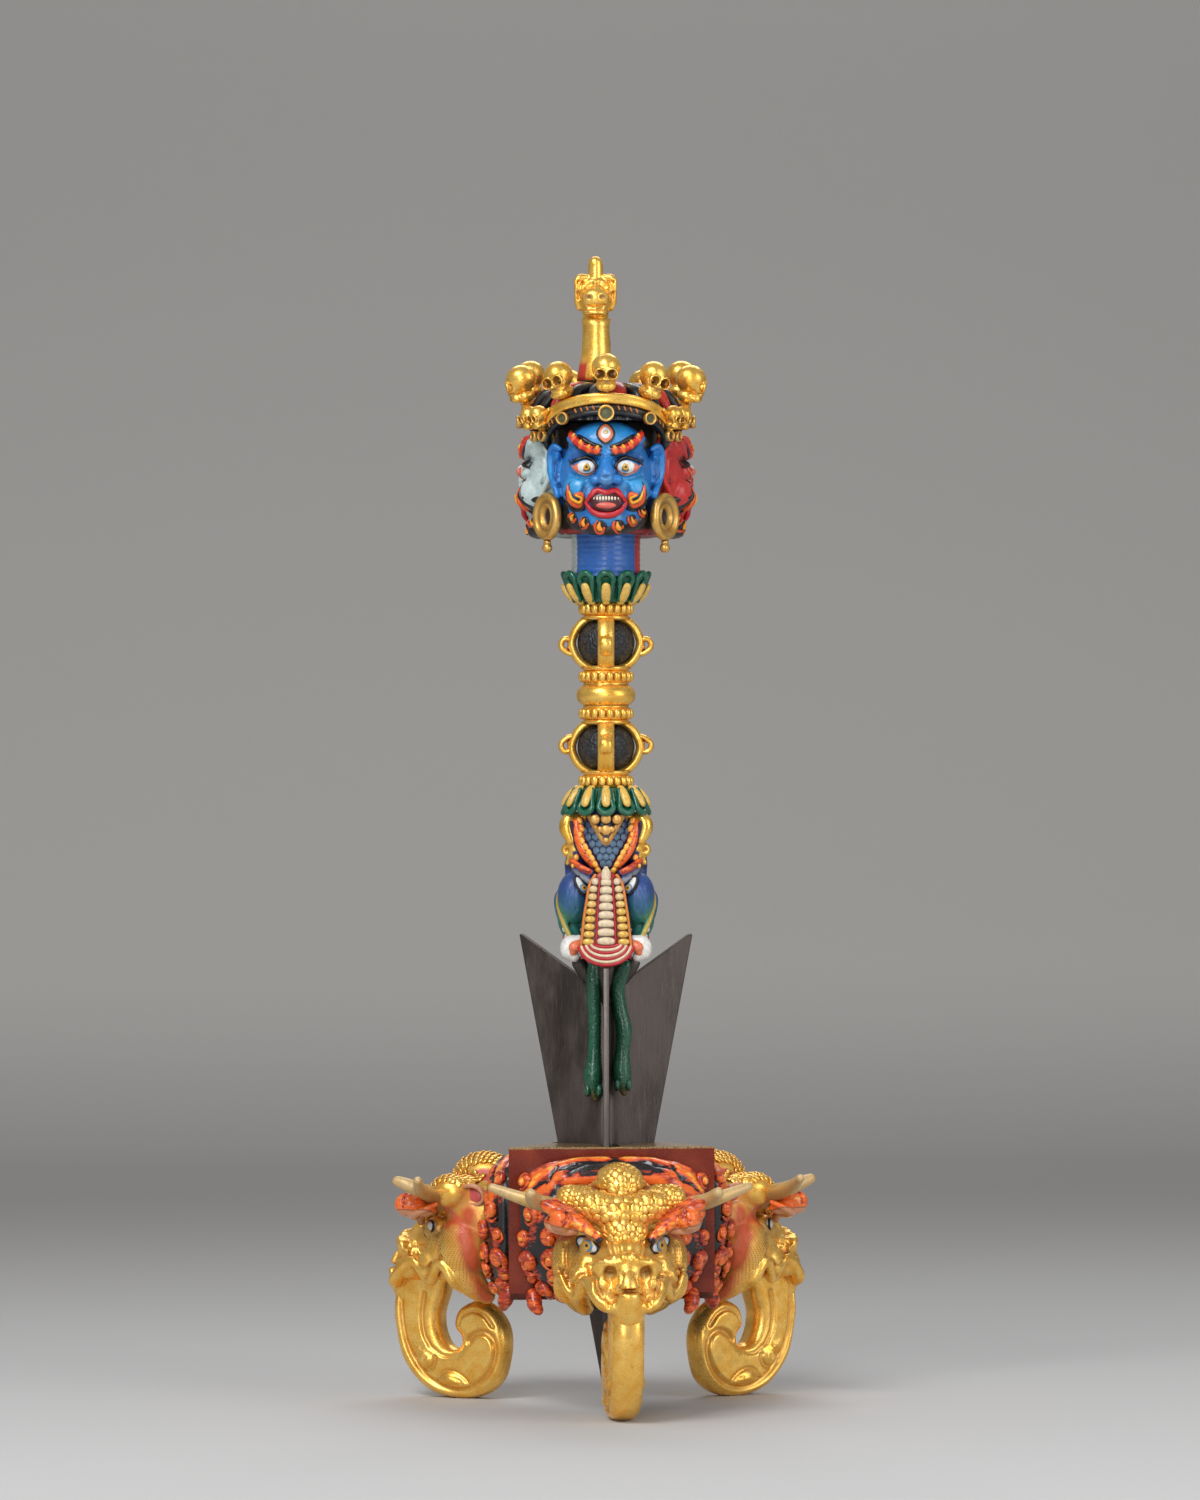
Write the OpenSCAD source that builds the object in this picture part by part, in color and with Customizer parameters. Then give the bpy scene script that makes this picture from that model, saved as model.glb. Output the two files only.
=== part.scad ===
// Ritual dagger standing point down in a three-legged stand.
// The dagger lifts straight up out of the stand. Millimetres, +Z up, ground at z = 0.

/* [Stand box] */
// Distance from the axis to each corner of the three-sided box
box_corner_r = 31; // [29.5:0.5:34]
// Height of the box from its underside to its top face
box_h = 37.9; // [35:0.1:42]
// Thickness of the three side panels
panel_t = 1.2; // [0.8:0.1:1.3]
// Thickness of the top plate
top_plate_t = 1.2; // [0.8:0.1:2]
// Thickness of the bottom plate
bottom_plate_t = 1.6; // [1:0.1:2.4]
// Radius of the round opening in the bottom plate
bottom_hole_r = 8; // [7:0.5:11]
// Width of each arm of the opening for the blade
slot_w = 5.4; // [4.8:0.1:7]

/* [Makara supports] */
// Height of the trunk legs, from the ground to the mouths
leg_h = 28.6; // [25:0.1:33]
// Thickness of the trunk legs, side to side
leg_t = 9; // [7:0.5:11]
// Height from the mouths to the underside of the box
box_over_mouth = 1.7; // [1:0.1:3]
// Depth of the mane, from the panel to the back of the head
mane_depth = 11.5; // [9:0.5:14]
// Half of the width of the mane, where it is widest
mane_half_w = 24; // [21:0.5:25]
// Distance from the back of the head to the lips
head_reach = 33.4; // [31:0.1:36]
// Half of the width of the head at the cheeks
head_half_w = 17.4; // [16:0.1:19]
// Height of the scaled crest above the mouth
crest_h = 37.2; // [34:0.1:41]
// Half of the distance between the outer horn tips of one head
horn_span = 33; // [30:0.5:35]
// Radius of a horn at its root
horn_root_r = 1.9; // [1.4:0.1:2.4]
// Radius of an ear
ear_r = 3.1; // [2.4:0.1:3.8]
// Radius of the flaming brows
brow_r = 2.5; // [1.8:0.1:3.2]

/* [Blade] */
// Length of the blade from its tip to its barbs
blade_l = 117.9; // [110:0.1:126]
// Depth of the notch between each barb and the shaft
barb_drop = 13.1; // [10:0.1:16]
// Thickness of a wing of the blade
wing_t = 1.5; // [1:0.1:2.2]
// How much of the blade hangs below the stand's top face
blade_in_stand = 63.2; // [58:0.1:66]
// Radius of the shaft above the notches
shaft_r = 3.6; // [3:0.1:4.4]
// Height of the shaft between the notches and the dagger's makara head
shaft_h = 6; // [5:0.1:8]
// Radius of the tang that the grip is threaded on
tang_r = 1.6; // [1.2:0.1:2]
// How far the front wing's corner stays below the makara head, clear of the trunk's lip
lip_clear = 0.8; // [0.6:0.1:3]
// Radius of the snakes' bodies
snake_r = 1.8; // [1.4:0.1:2]
// Length of the snakes
snake_l = 35.5; // [30:0.5:42]

/* [Grip] */
// Height of the makara head that the blade comes out of
mask_h = 39; // [36:0.5:43]
// Half of the width of that head at its cheeks
mask_half_w = 12.6; // [11:0.1:14]
// Height of the upturned trunk
trunk_h = 24; // [20:0.5:28]
// Half of the width of the upturned trunk at its lip
trunk_half_w = 6.6; // [5.5:0.1:8]
// Height of the lower lotus
lotus_low_h = 6.6; // [5.5:0.1:8]
// Height of the upper lotus
lotus_top_h = 7.6; // [6.5:0.1:9]
// Radius of both lotuses over their petals
lotus_r = 11.6; // [10:0.1:13]
// Height of the bead rings next to the lotuses
bead_outer_h = 3.3; // [2.6:0.1:4]
// Height of the bead rings next to the knob
bead_inner_h = 3; // [2.4:0.1:3.8]
// Radius of the bead rings
bead_ring_r = 7.4; // [6.6:0.1:8.4]
// Number of beads on a ring
beads = 20; // [16:1:24]
// Height of the pronged cages
cage_h = 14.6; // [13:0.1:17]
// Radius of the cages over their prongs
cage_r = 9.6; // [8.8:0.1:10.6]
// Width of a prong
prong_w = 4.4; // [3.4:0.1:5.4]
// Radius of the dark globe in a cage
globe_r = 6.75; // [6:0.05:7.2]
// Radius of the knob
knob_r = 7.8; // [7:0.1:9]
// Height of the knob
knob_h = 6.7; // [5.5:0.1:8]

/* [Head] */
// Height of the neck
neck_h = 10.2; // [8:0.1:13]
// Radius of each of the three lobes of the neck
neck_lobe_r = 8; // [7:0.1:8.6]
// Height of the faces from chin to hairline
face_h = 30; // [27:0.5:33]
// Half of the width of a face
face_half_w = 12.3; // [11.5:0.1:12.6]
// Distance from the axis to the flat back of each face
face_seat_r = 9.5; // [9:0.1:10.2]
// Depth of a face from its back to its lips
face_depth = 13.6; // [12:0.1:15]
// How far the nose stands out past the lips
nose_out = 3.1; // [2:0.1:4]
// Radius of an earring
earring_r = 6.3; // [5:0.1:6.6]
// Width of an earring's band
earring_w = 3.4; // [2.6:0.1:4]
// Thickness of an earring
earring_t = 2.4; // [1.8:0.1:3]

/* [Crown and finial] */
// Height of the crown's band
band_h = 2.8; // [2.2:0.1:3.6]
// Thickness of the crown's band
band_t = 2.2; // [1.6:0.1:3]
// How much lower the band lies between two faces than over a face
band_dip = 9; // [6:0.5:10]
// Height of a large skull
skull_h = 10; // [8:0.5:12]
// Half of the width of a large skull
skull_half_w = 3.85; // [3:0.05:4.6]
// Distance from the outside of the band to the middles of the small corner skulls
corner_skull_out = 2.9; // [2.85:0.05:3.3]
// Height of the dome of hair under the finial
hair_h = 11; // [9:0.5:14]
// Height of the finial's neck
finial_neck_h = 16.4; // [14:0.1:20]
// Radius of the finial's neck
finial_neck_r = 3.55; // [3:0.05:4.2]
// Height of the horse-like head on the finial, without its spike
finial_head_h = 11.2; // [10:0.1:13]
// Height of the spike
spike_h = 5; // [4:0.1:6.5]
// How far the finial stands to the side of the axis
finial_shift = 2.4; // [0:0.1:3.4]

/* [Fits] */
// Gap between pieces of one body that meet at curved faces
seat_gap = 0.2; // [0.15:0.05:0.4]
// Gap between the blade and the ends of the opening that it stands in
slot_gap = 0.4; // [0.3:0.05:0.8]
// Gap round the tang in the pieces that are threaded on it
tang_gap = 0.2; // [0.1:0.05:0.3]

/* [Hidden] */
$fn = 48;

// Turns of the three sides, seen from above
right = 120;
left = -120;
// The dagger stands slightly turned in its opening
dagger_turn = -5.5;

// Stand, from the ground up, and from the axis out
box_z = leg_h + box_over_mouth;
box_top = box_z + box_h;
panel_r = box_corner_r / 2;
head_seat_r = panel_r + mane_depth;
lip_r = head_seat_r + head_reach;
crest_z = leg_h + crest_h;
brow_plane_r = head_seat_r + 20;
snout_top_z = leg_h + 17;
cheek_z = leg_h + 9;
jaw_drop = 2.3;
ear_pad_t = 11.5;
ear_at_r = head_seat_r + 5.5;
ear_z = leg_h + 25.4;
horn_pad_t = 12.5;
horn_root = [head_seat_r + 15, horn_pad_t + seat_gap, leg_h + 24.4];
horn_fork = [head_seat_r + 15.4, horn_span - 11, leg_h + 27.4];
horn_tip = [head_seat_r + 11.6, horn_span, leg_h + 30.9];
tine_tip = [head_seat_r + 22, horn_span - 9, leg_h + 29.8];
tip_r = 0.9;

// The footprint's middle is the origin, so the axis lies behind it
front_reach = lip_r;
rear_reach = horn_tip[0] * cos(60) + horn_tip[1] * sin(60) + tip_r;
axis_y = (front_reach - rear_reach) / 2;

// Outline of a trunk leg in its own plane: distance out from the back of the head, and height
leg_drawn_h = 28.6;
leg_boss_r = 2.9;
leg_outline = [
    [33.2, 28.6], [33.9, 22.9], [33.2, 17.4], [31.7, 11.0], [28.2, 5.6], [23.3, 1.7], [17.3, -0.4],
    [11.4, -0.4], [6.2, 1.4], [2.4, 5.0], [1.1, 10.1], [0.5, 14.7], [1.1, 19.0], [2.9, 22.2],
    [5.4, 24.6], [8.6, 26.0], [11.6, 25.4], [14.6, 23.6], [16.4, 20.6], [15.8, 18.4],
    [14.4, 16.6], [14.5, 14.3], [16.0, 13.7], [17.8, 14.6], [19.4, 17.9], [19.7, 22.0],
    [18.8, 25.4], [18.2, 28.6]
];

// Dagger, from its tip up
tip_z = box_top - blade_in_stand;
barb_z = tip_z + blade_l;
notch_z = barb_z - barb_drop;
mask_z = notch_z + shaft_h;
front_barb_z = mask_z - lip_clear;
lotus_low_z = mask_z + mask_h;
bead_d_z = lotus_low_z + lotus_low_h;
cage_low_z = bead_d_z + bead_outer_h;
bead_c_z = cage_low_z + cage_h;
knob_z = bead_c_z + bead_inner_h;
bead_b_z = knob_z + knob_h;
cage_top_z = bead_b_z + bead_inner_h;
bead_a_z = cage_top_z + cage_h;
lotus_top_z = bead_a_z + bead_outer_h;
neck_z = lotus_top_z + lotus_top_h;
core_z = neck_z + neck_h;
chin_z = core_z - 1.4;
hairline_z = chin_z + face_h;
core_top = hairline_z + 0.3;
hair_z = core_top + seat_gap;
hair_top = hair_z + hair_h;
finial_z = hair_top + seat_gap;
finial_head_z = finial_z + finial_neck_h;
blade_seat_r = panel_r - panel_t;
blade_slope = (blade_seat_r - wing_t / 2) / blade_in_stand;
barb_r = wing_t / 2 + blade_slope * blade_l;
bore_r = tang_r + tang_gap;
mask_front_r = 8.5;
core_corner_r = 16;
crown_low_r = core_corner_r + seat_gap + 0.1;
crown_high_r = 20.8;
band_z = hairline_z + 4.6;
net_h = 2.4;
net_t = 2;
net_gap = 0.3;
cage_ring_r = 2.6;
bead_relief = 0.75;

function unit(v) = v / norm(v);
function signed_pow(v, p) = sign(v) * pow(abs(v), p);
function halfway(a, b, f) = a * (1 - f) + b * f;

// Rounds a closed outline by cutting its corners, without its first and last points
function softened(p, times) =
    times == 0 ? p :
    softened(
        concat(
            [p[0]],
            [for (i = [1:len(p) - 2]) for (f = [0.25, -0.25])
                f > 0 ? halfway(p[i], p[i - 1], f) : halfway(p[i], p[i + 1], -f)],
            [p[len(p) - 1]]
        ),
        times - 1
    );

// Moves each point of an outline inwards, across the line of its neighbours
function drawn_in(p, d) = [
    for (i = [0:len(p) - 1])
        let (along = unit(p[(i + 1) % len(p)] - p[(i + len(p) - 1) % len(p)]))
            p[i] + d * [along[1], -along[0]]
];

// Faces of a skin over rings of n points each, and the two caps
function skin_faces(rings, n) = [
    for (i = [0:rings - 2], j = [0:n - 1], half = [0, 1])
        half == 0
            ? [i * n + j, i * n + (j + 1) % n, (i + 1) * n + (j + 1) % n]
            : [i * n + j, (i + 1) * n + (j + 1) % n, (i + 1) * n + j]
];
function cap_faces(first, n, flip) = [
    for (j = [1:n - 2]) flip ? [first, first + j + 1, first + j] : [first, first + j, first + j + 1]
];

// Solid through rings of points; each ring runs the same way round
module loft(rings) {
    n = len(rings[0]);
    polyhedron(
        [for (ring = rings) for (p = ring) p],
        concat(
            skin_faces(len(rings), n),
            cap_faces(0, n, true),
            cap_faces((len(rings) - 1) * n, n, false)
        )
    );
}

// Closed ring through slices of points, such as a band round the head
module hoop(slices) {
    n = len(slices[0]);
    closed = concat(slices, [slices[0]]);
    points = [for (slice = slices) for (p = slice) p];
    polyhedron(
        points,
        [for (face = skin_faces(len(closed), n)) [for (v = face) v % len(points)]]
    );
}

// Ring of points across a path
function ring_across(centre, along, up, r, n) =
    let (a = unit(cross(along, up)), b = cross(a, along))
        [for (k = [0:n - 1]) centre + r * (cos(360 * k / n) * a + sin(360 * k / n) * b)];
function path_dir(p, i) = unit(p[min(i + 1, len(p) - 1)] - p[max(i - 1, 0)]);

// Round bar along a path; its radius goes from r1 to r2
module bar(path, r1, r2, up = [0, 0, 1], n = 10) {
    last = len(path) - 1;
    loft([
        for (i = [0:last])
            ring_across(path[i], path_dir(path, i), up, halfway(r1, r2, i / last), n)
    ]);
}

// Upright ring of points facing outwards at distance r, widest at height zw
function shield(r, z0, z1, zw, half_w, p = 0.8, n = 20) = [
    for (k = [0:n - 1])
        let (c = cos(360 * k / n), s = sin(360 * k / n), lift = signed_pow(s, p))
            [-half_w * signed_pow(c, p), -r, zw + lift * (s > 0 ? z1 - zw : zw - z0)]
];

// Level ring of points at height z about a centre in front of the axis
function level_ring(z, half_x, half_y, front = 0, n = 20) = [
    for (k = [0:n - 1]) [half_x * cos(360 * k / n), -front + half_y * sin(360 * k / n), z]
];

// A point given as distance out, distance to the side, and height
function out_to(p) = [p[1], -p[0], p[2]];

module on_stand(turn = 0) translate([0, axis_y, 0]) rotate(turn) children();
module on_dagger(turn = 0) translate([0, axis_y, 0]) rotate(dagger_turn + turn) children();
module both_sides() {
    children();
    mirror([1, 0, 0]) children();
}

// Plan of a three-sided plate whose flats face the makaras
module three_sided(corner_r) polygon([
    for (corner = [60, 180, 300]) corner_r * [sin(corner), -cos(corner)]
]);

module stand_top_plate() {
    color("peru") on_stand() difference() {
        translate([0, 0, box_top - top_plate_t]) linear_extrude(top_plate_t) three_sided(box_corner_r);
        for (turn = [0, right, left]) rotate(turn)
            translate([-slot_w / 2, -slot_reach(), box_top - top_plate_t - 1])
                cube([slot_w, slot_reach(), top_plate_t + 2]);
    }
}
function slot_reach() = blade_seat_r + slot_gap;

module stand_bottom_plate() {
    color("saddlebrown") on_stand() difference() {
        translate([0, 0, box_z - bottom_plate_t])
            linear_extrude(bottom_plate_t) three_sided(box_corner_r - 2 * seat_gap);
        translate([0, 0, box_z - bottom_plate_t - 1]) cylinder(r = bottom_hole_r, h = bottom_plate_t + 2);
    }
}

// One side of the box, mitred where it meets the next
module panel(turn) {
    half_out = panel_r * tan(60);
    half_in = (panel_r - panel_t) * tan(60);
    color("firebrick") on_stand(turn) translate([0, 0, box_z]) linear_extrude(box_h - top_plate_t)
        polygon([
            [-half_out, -panel_r], [half_out, -panel_r],
            [half_in, panel_t - panel_r], [-half_in, panel_t - panel_r]
        ]);
}

// Mane and neck behind a makara's head, flat on the panel
module mane(turn) {
    color("darkred") on_stand(turn) loft([
        shield(panel_r, leg_h + 2, crest_z - 1, crest_z - 10, mane_half_w - 1, 0.55),
        shield(
            panel_r + mane_depth * 0.3, leg_h - 1, crest_z - 0.4, crest_z - 12, mane_half_w, 0.6
        ),
        shield(
            panel_r + mane_depth * 0.7, leg_h - jaw_drop, crest_z, crest_z - 15, mane_half_w - 3, 0.7
        ),
        shield(head_seat_r, leg_h - jaw_drop, crest_z - 0.6, crest_z - 18, head_half_w, 0.75)
    ]);
}

// Skull and snout of a makara; ears, horns and brows sit on flats cut into it
module makara_head(turn) {
    r0 = head_seat_r + seat_gap;
    step = (brow_plane_r - r0) / 3;
    low_z = leg_h - jaw_drop;
    w = head_half_w;
    pad = 10;
    color("gold") on_stand(turn) difference() {
        union() {
            loft([
                shield(r0, low_z, crest_z - 0.8, cheek_z + 8, w - 0.6, 0.8),
                shield(r0 + step, low_z, crest_z - 2.6, cheek_z + 5, w, 0.85),
                shield(r0 + 2 * step, low_z, crest_z - 5.5, cheek_z + 3, w - 2.4, 0.9),
                shield(brow_plane_r, leg_h - 1, crest_z - 10.5, cheek_z + 2, w - 5, 0.9)
            ]);
            loft([
                shield(brow_plane_r - step, leg_h - 1, snout_top_z, cheek_z, w - 6, 0.8),
                shield(brow_plane_r + 3, leg_h, snout_top_z - 2, cheek_z, w - 7, 0.8),
                shield(lip_r - 5, leg_h + 1, snout_top_z - 3, cheek_z - 2, w - 8.5, 0.8),
                shield(lip_r - 1.6, leg_h + 1, snout_top_z - 5, cheek_z - 3, w - 10.5, 0.85),
                shield(lip_r, leg_h + 2, leg_h + 8, leg_h + 5, w - 13, 0.9)
            ]);
        }
        leg_space();
        both_sides() {
            translate([ear_pad_t, -ear_at_r - pad / 2, ear_z - pad / 2]) cube(pad);
            translate([horn_pad_t, -horn_root[0] - 4, horn_root[2] - 4]) cube([pad, 8, 12]);
        }
    }
}

// What the trunk leg takes away from the head: the mouth and the jaw, each cut level
module leg_space() {
    width = 2 * head_half_w + 2;
    jaw_r = brow_plane_r - 4;
    jaw_z = leg_h - jaw_drop + seat_gap + 0.1;
    translate([-width / 2, -lip_r - 1, 0]) cube([width, lip_r + 1 - jaw_r, leg_h + seat_gap]);
    translate([-width / 2, -jaw_r - 1, 0]) cube([width, jaw_r + 1, jaw_z]);
}

function leg_points() = softened(
    [for (p = leg_outline) [head_seat_r + p[0], p[1] * leg_h / leg_drawn_h]], 2
);

// A trunk that curls under itself and carries the stand
module trunk_leg(turn) {
    outline = leg_points();
    color("goldenrod") on_stand(turn) rotate([90, 0, -90]) difference() {
        union() {
            for (layer = [[0.34, 0], [0.44, 0.6], [0.5, 1.5]])
                translate([0, 0, -layer[0] * leg_t])
                    linear_extrude(2 * layer[0] * leg_t) polygon(drawn_in(outline, layer[1]));
            translate([head_seat_r + 24.6, 0.38 * leg_h, -leg_t / 2 - 0.5])
                cylinder(r = leg_boss_r, h = leg_t + 1);
        }
        translate([0, -10, -leg_t]) cube([2 * lip_r, 10, 2 * leg_t]);
        translate([0, leg_h, -leg_t]) cube([2 * lip_r, 10, 2 * leg_t]);
    }
}

// Pair of forked horns
module horns(turn) {
    half_up = halfway(horn_root, horn_fork, 0.5);
    tine_root = halfway(horn_root, horn_fork, 0.7);
    main_path = softened([horn_root, half_up, horn_fork, horn_tip], 2);
    tine_path = softened([tine_root, horn_fork + [4, -1, 0.4], tine_tip], 2);
    color("khaki") on_stand(turn) both_sides() {
        bar([for (p = main_path) out_to(p)], horn_root_r, tip_r);
        bar([for (p = tine_path) out_to(p)], horn_root_r * 0.9, tip_r * 1.4);
    }
}

// Pair of cupped ears on the flats at the sides of the head
module ears(turn) {
    lean = 1.6;
    ear_l = 1.3 * ear_r;
    color("indianred") on_stand(turn) both_sides() loft([
        for (f = [0:0.2:1])
            let (r = ear_r * sqrt(1 - 0.9 * f * f), t = ear_pad_t + seat_gap + ear_l * f)
                [for (a = [0:36:324])
                    [t, lean * f - ear_at_r + 1.1 * r * cos(a), ear_z + lean * f + r * sin(a)]]
    ]);
}

// Pair of flaming brows standing on the flat above the snout
module brows(turn) {
    r = brow_plane_r + seat_gap + brow_r;
    path = [
        [r, 5.5, leg_h + 19.6], [r + 1.6, 9, leg_h + 21.6],
        [r + 2, 14, leg_h + 23.2], [r - 0.2, 18.5, leg_h + 25.4]
    ];
    color("orangered") on_stand(turn) both_sides()
        bar([for (p = softened(path, 2)) out_to(p)], brow_r * 0.8, brow_r);
}

// Nine points round the three wings: two corners at distance r on each, and the valleys between
function wing_ring(r, z, valley_z) = [
    for (turn = [0, left, 2 * left], p = [[1, -r, z], [-1, -r, z], [-1, -wing_t / sqrt(12), valley_z]])
        let (x = p[0] * wing_t / 2, y = p[1])
            [x * cos(turn) - y * sin(turn), x * sin(turn) + y * cos(turn), p[2]]
];
function drawn_to_axis(ring, r, z) = [
    for (p = ring) let (share = r / norm([p[0], p[1]])) [share * p[0], share * p[1], z]
];

// Corners of the wings: the front one ends lower, below the lip of the makara's trunk
function barb_ring() =
    let (
        high = wing_ring(barb_r, barb_z, notch_z - 12),
        low = wing_ring(barb_r - blade_slope * (barb_z - front_barb_z), front_barb_z, notch_z - 12)
    ) [for (i = [0:8]) i < 2 ? low[i] : high[i]];

// Three-winged blade with the shaft and the tang that carries the grip
module blade() {
    shoulder_z = notch_z + shaft_h;
    wings_low = wing_ring(wing_t * 0.6, tip_z + 1, tip_z + 1);
    wings_top = wing_ring(shaft_r - 1.2, notch_z + 1.6, notch_z - 3);
    color("dimgray") on_dagger() {
        loft([
            drawn_to_axis(wings_low, 0.3, tip_z),
            wings_low,
            barb_ring(),
            wing_ring(shaft_r + 3, notch_z + 1, notch_z - 9),
            wing_ring(shaft_r + 1, notch_z, notch_z - 6),
            wings_top,
            drawn_to_axis(wings_top, 0.3, notch_z + 2)
        ]);
        rotate_extrude() polygon([
            [0, notch_z - 8], [shaft_r, notch_z + 3], [shaft_r, shoulder_z],
            [tang_r, shoulder_z], [tang_r, core_top - 0.1], [0, core_top - 0.1]
        ]);
    }
}

// Snake hanging from the makara's mouth in the valley between two wings
module snake(turn, sway) {
    lie_r = 2 * (wing_t / 2 + snake_r + seat_gap) / sqrt(3) + 0.7;
    top_r = shaft_r + snake_r + 3 * seat_gap;
    top = mask_z - seat_gap;
    steps = 12;
    path = [
        for (i = [0:steps])
            let (f = i / steps, r = halfway(lie_r, top_r, pow(1 - f, 2)))
                [sway * sin(360 * f) * sin(180 * f), -r, top - snake_l * f]
    ];
    color("darkgreen") on_dagger(turn) bar(path, snake_r, snake_r * 0.86, [0, -1, 0]);
}

// Makara head that holds the grip above and the blade below
module dagger_makara_head() {
    // Share of the height, of the half width to the sides and to the front, and shift forwards
    rows = [
        [0, 0.52, 0.5, 0], [0.06, 0.8, 0.74, 0.6], [0.2, 0.96, 0.84, 1.2],
        [0.42, 1, 0.82, 1], [0.55, 0.92, 0.8, 0.6], [0.66, 0.82, 0.78, 0],
        [0.8, 0.86, 0.82, 0], [0.94, 0.74, 0.74, 0], [1, 0.6, 0.6, 0]
    ];
    w = mask_half_w;
    before = w + 9;
    color("steelblue") on_dagger() difference() {
        loft([
            for (row = rows) level_ring(mask_z + row[0] * mask_h, row[1] * w, row[2] * w, row[3])
        ]);
        translate([0, 0, mask_z - 1]) cylinder(r = bore_r, h = mask_h + 2);
        translate([-w - 1, -before, mask_z - 1])
            cube([2 * w + 2, before - mask_front_r, trunk_h + 2.4]);
    }
}

// Trunk turned up in front of the head, ribbed side out
module dagger_trunk() {
    r = mask_front_r + seat_gap;
    // Share of the height, share of the half width, and depth
    rows = [
        [0, 1, 5.2], [0.06, 1.06, 6.4], [0.2, 0.98, 6.6], [0.5, 0.94, 6.8],
        [0.8, 0.7, 6.2], [0.95, 0.46, 5.4], [1, 0.3, 4.4]
    ];
    color("ivory") on_dagger() loft([
        for (row = rows)
            let (w = trunk_half_w * row[1], half_d = row[2] / 2, z = mask_z - 0.4 + trunk_h * row[0])
                [for (a = [0:22.5:337.5])
                    [w * signed_pow(cos(a), 0.6), half_d * (signed_pow(sin(a), 0.6) - 1) - r, z]]
    ]);
}

// Pair of tusks beside the lip of the trunk
module dagger_tusks() {
    t = trunk_half_w * 1.06 + seat_gap + 0.9;
    r = mask_front_r + seat_gap + 2;
    path = [for (f = [0:0.25:1]) [t + 1.1 * f, -r - 2.4 * f, mask_z + 6 - 5 * f]];
    color("seashell") on_dagger() both_sides() bar(path, 1.5, 1, [0, 1, 0]);
}

// Small jewels that hang over the makara's forehead, below the lotus
module jewel_pendant() {
    jewel_r = 0.95;
    apart = 11;
    color("peru") on_dagger() for (row = [0:2], k = [0:2 - row])
        let (r = mask_half_w * (0.735 + 0.03 * row) + seat_gap)
            rotate(apart * (k - (2 - row) / 2))
                translate([0, -r, lotus_low_z - 1.6 - 2.1 * row])
                    rotate([90, 0, 0]) cylinder(r = jewel_r, h = 1.6);
}

// Lotus with its petals as scallops; up is 1 for petals that open upwards
module lotus(z0, h, up) {
    petals = 12;
    slices = 6 * petals;
    color("darkgreen") on_dagger() hoop([
        for (k = [0:slices - 1])
            let (a = 360 * k / slices)
                [for (p = petal_slice(abs(cos(petals * a / 2))))
                    [p[0] * sin(a), -p[0] * cos(a), z0 + h * (up > 0 ? p[1] : 1 - p[1])]]
    ]);
}

// Slice through a lotus: distance out and share of the height; swell is 1 in the middle of a petal
function petal_slice(swell) =
    let (waist_r = bead_ring_r - 0.6, rim = lotus_r - 1.4 + 1.4 * swell) [
        [bore_r, 0], [waist_r, 0], [waist_r + 1.5, 0.2], [rim - 0.8, 0.58 + 0.12 * swell],
        [rim, 0.72 + 0.14 * swell], [rim - 1, 0.84 + 0.16 * swell],
        [waist_r + 0.2, 0.66], [waist_r - 0.2, 1], [bore_r, 1]
    ];

// Collar of beads threaded on the tang
module bead_ring(z0, h) {
    slices = 4 * beads;
    color("gold") on_dagger() hoop([
        for (k = [0:slices - 1])
            let (a = 360 * k / slices)
                [for (p = bead_slice(bead_relief * abs(sin(beads * a / 2))))
                    [p[0] * sin(a), -p[0] * cos(a), z0 + p[1] * h]]
    ]);
}

// Slice through a bead ring: distance out and share of the height
function bead_slice(swell) =
    let (r = bead_ring_r - bead_relief) [
        [bore_r, 0], [r - 1, 0], [r + 0.7 * swell, 0.22], [r + swell, 0.5],
        [r + 0.7 * swell, 0.78], [r - 1, 1], [bore_r, 1]
    ];

// Space of the dark globe with an allowance all round, cut flat above and below
module globe_space(extra) {
    half_h = cage_h / 2 - 0.9 + extra;
    intersection() {
        sphere(r = globe_r + extra);
        translate([-cage_r, -cage_r, -half_h]) cube([2 * cage_r, 2 * cage_r, 2 * half_h]);
    }
}

module globe(z0) {
    color("black") on_dagger() translate([0, 0, z0 + cage_h / 2]) difference() {
        globe_space(0);
        translate([0, 0, -cage_h]) cylinder(r = bore_r, h = 2 * cage_h);
    }
}

// Four prongs round a globe, each with a scroll on its back
module cage(z0) {
    color("gold") on_dagger() translate([0, 0, z0 + cage_h / 2]) difference() {
        union() {
            intersection() {
                sphere(r = cage_r);
                union() for (turn = [0, 90]) rotate(turn)
                    translate([-prong_w / 2, -cage_r, -cage_h / 2])
                        cube([prong_w, 2 * cage_r, cage_h]);
            }
            for (turn = [0, 90, 180, 270]) rotate(turn)
                translate([-prong_w * 0.4, -cage_r - 0.3, -0.5])
                    rotate([0, 90, 0]) cylinder(r = cage_ring_r, h = prong_w * 0.8);
        }
        globe_space(seat_gap);
        translate([0, 0, -cage_h]) cylinder(r = bore_r, h = 2 * cage_h);
    }
}

// Smooth round knob in the middle of the grip
module knob() {
    color("gold") on_dagger() translate([0, 0, knob_z]) rotate_extrude() {
        round_r = knob_h / 2;
        translate([bore_r, 0]) square([knob_r - round_r - bore_r, knob_h]);
        intersection() {
            translate([knob_r - round_r, round_r]) circle(r = round_r);
            translate([knob_r - round_r - 0.01, 0]) square([knob_h, knob_h]);
        }
    }
}

// Neck of three joined columns, one under each face
module neck() {
    lobe_out = face_seat_r - 0.3 - neck_lobe_r;
    color("royalblue") on_dagger() translate([0, 0, neck_z]) linear_extrude(neck_h) difference() {
        for (turn = [0, right, left]) rotate(turn) translate([0, -lobe_out]) circle(r = neck_lobe_r);
        circle(r = bore_r);
    }
}

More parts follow.
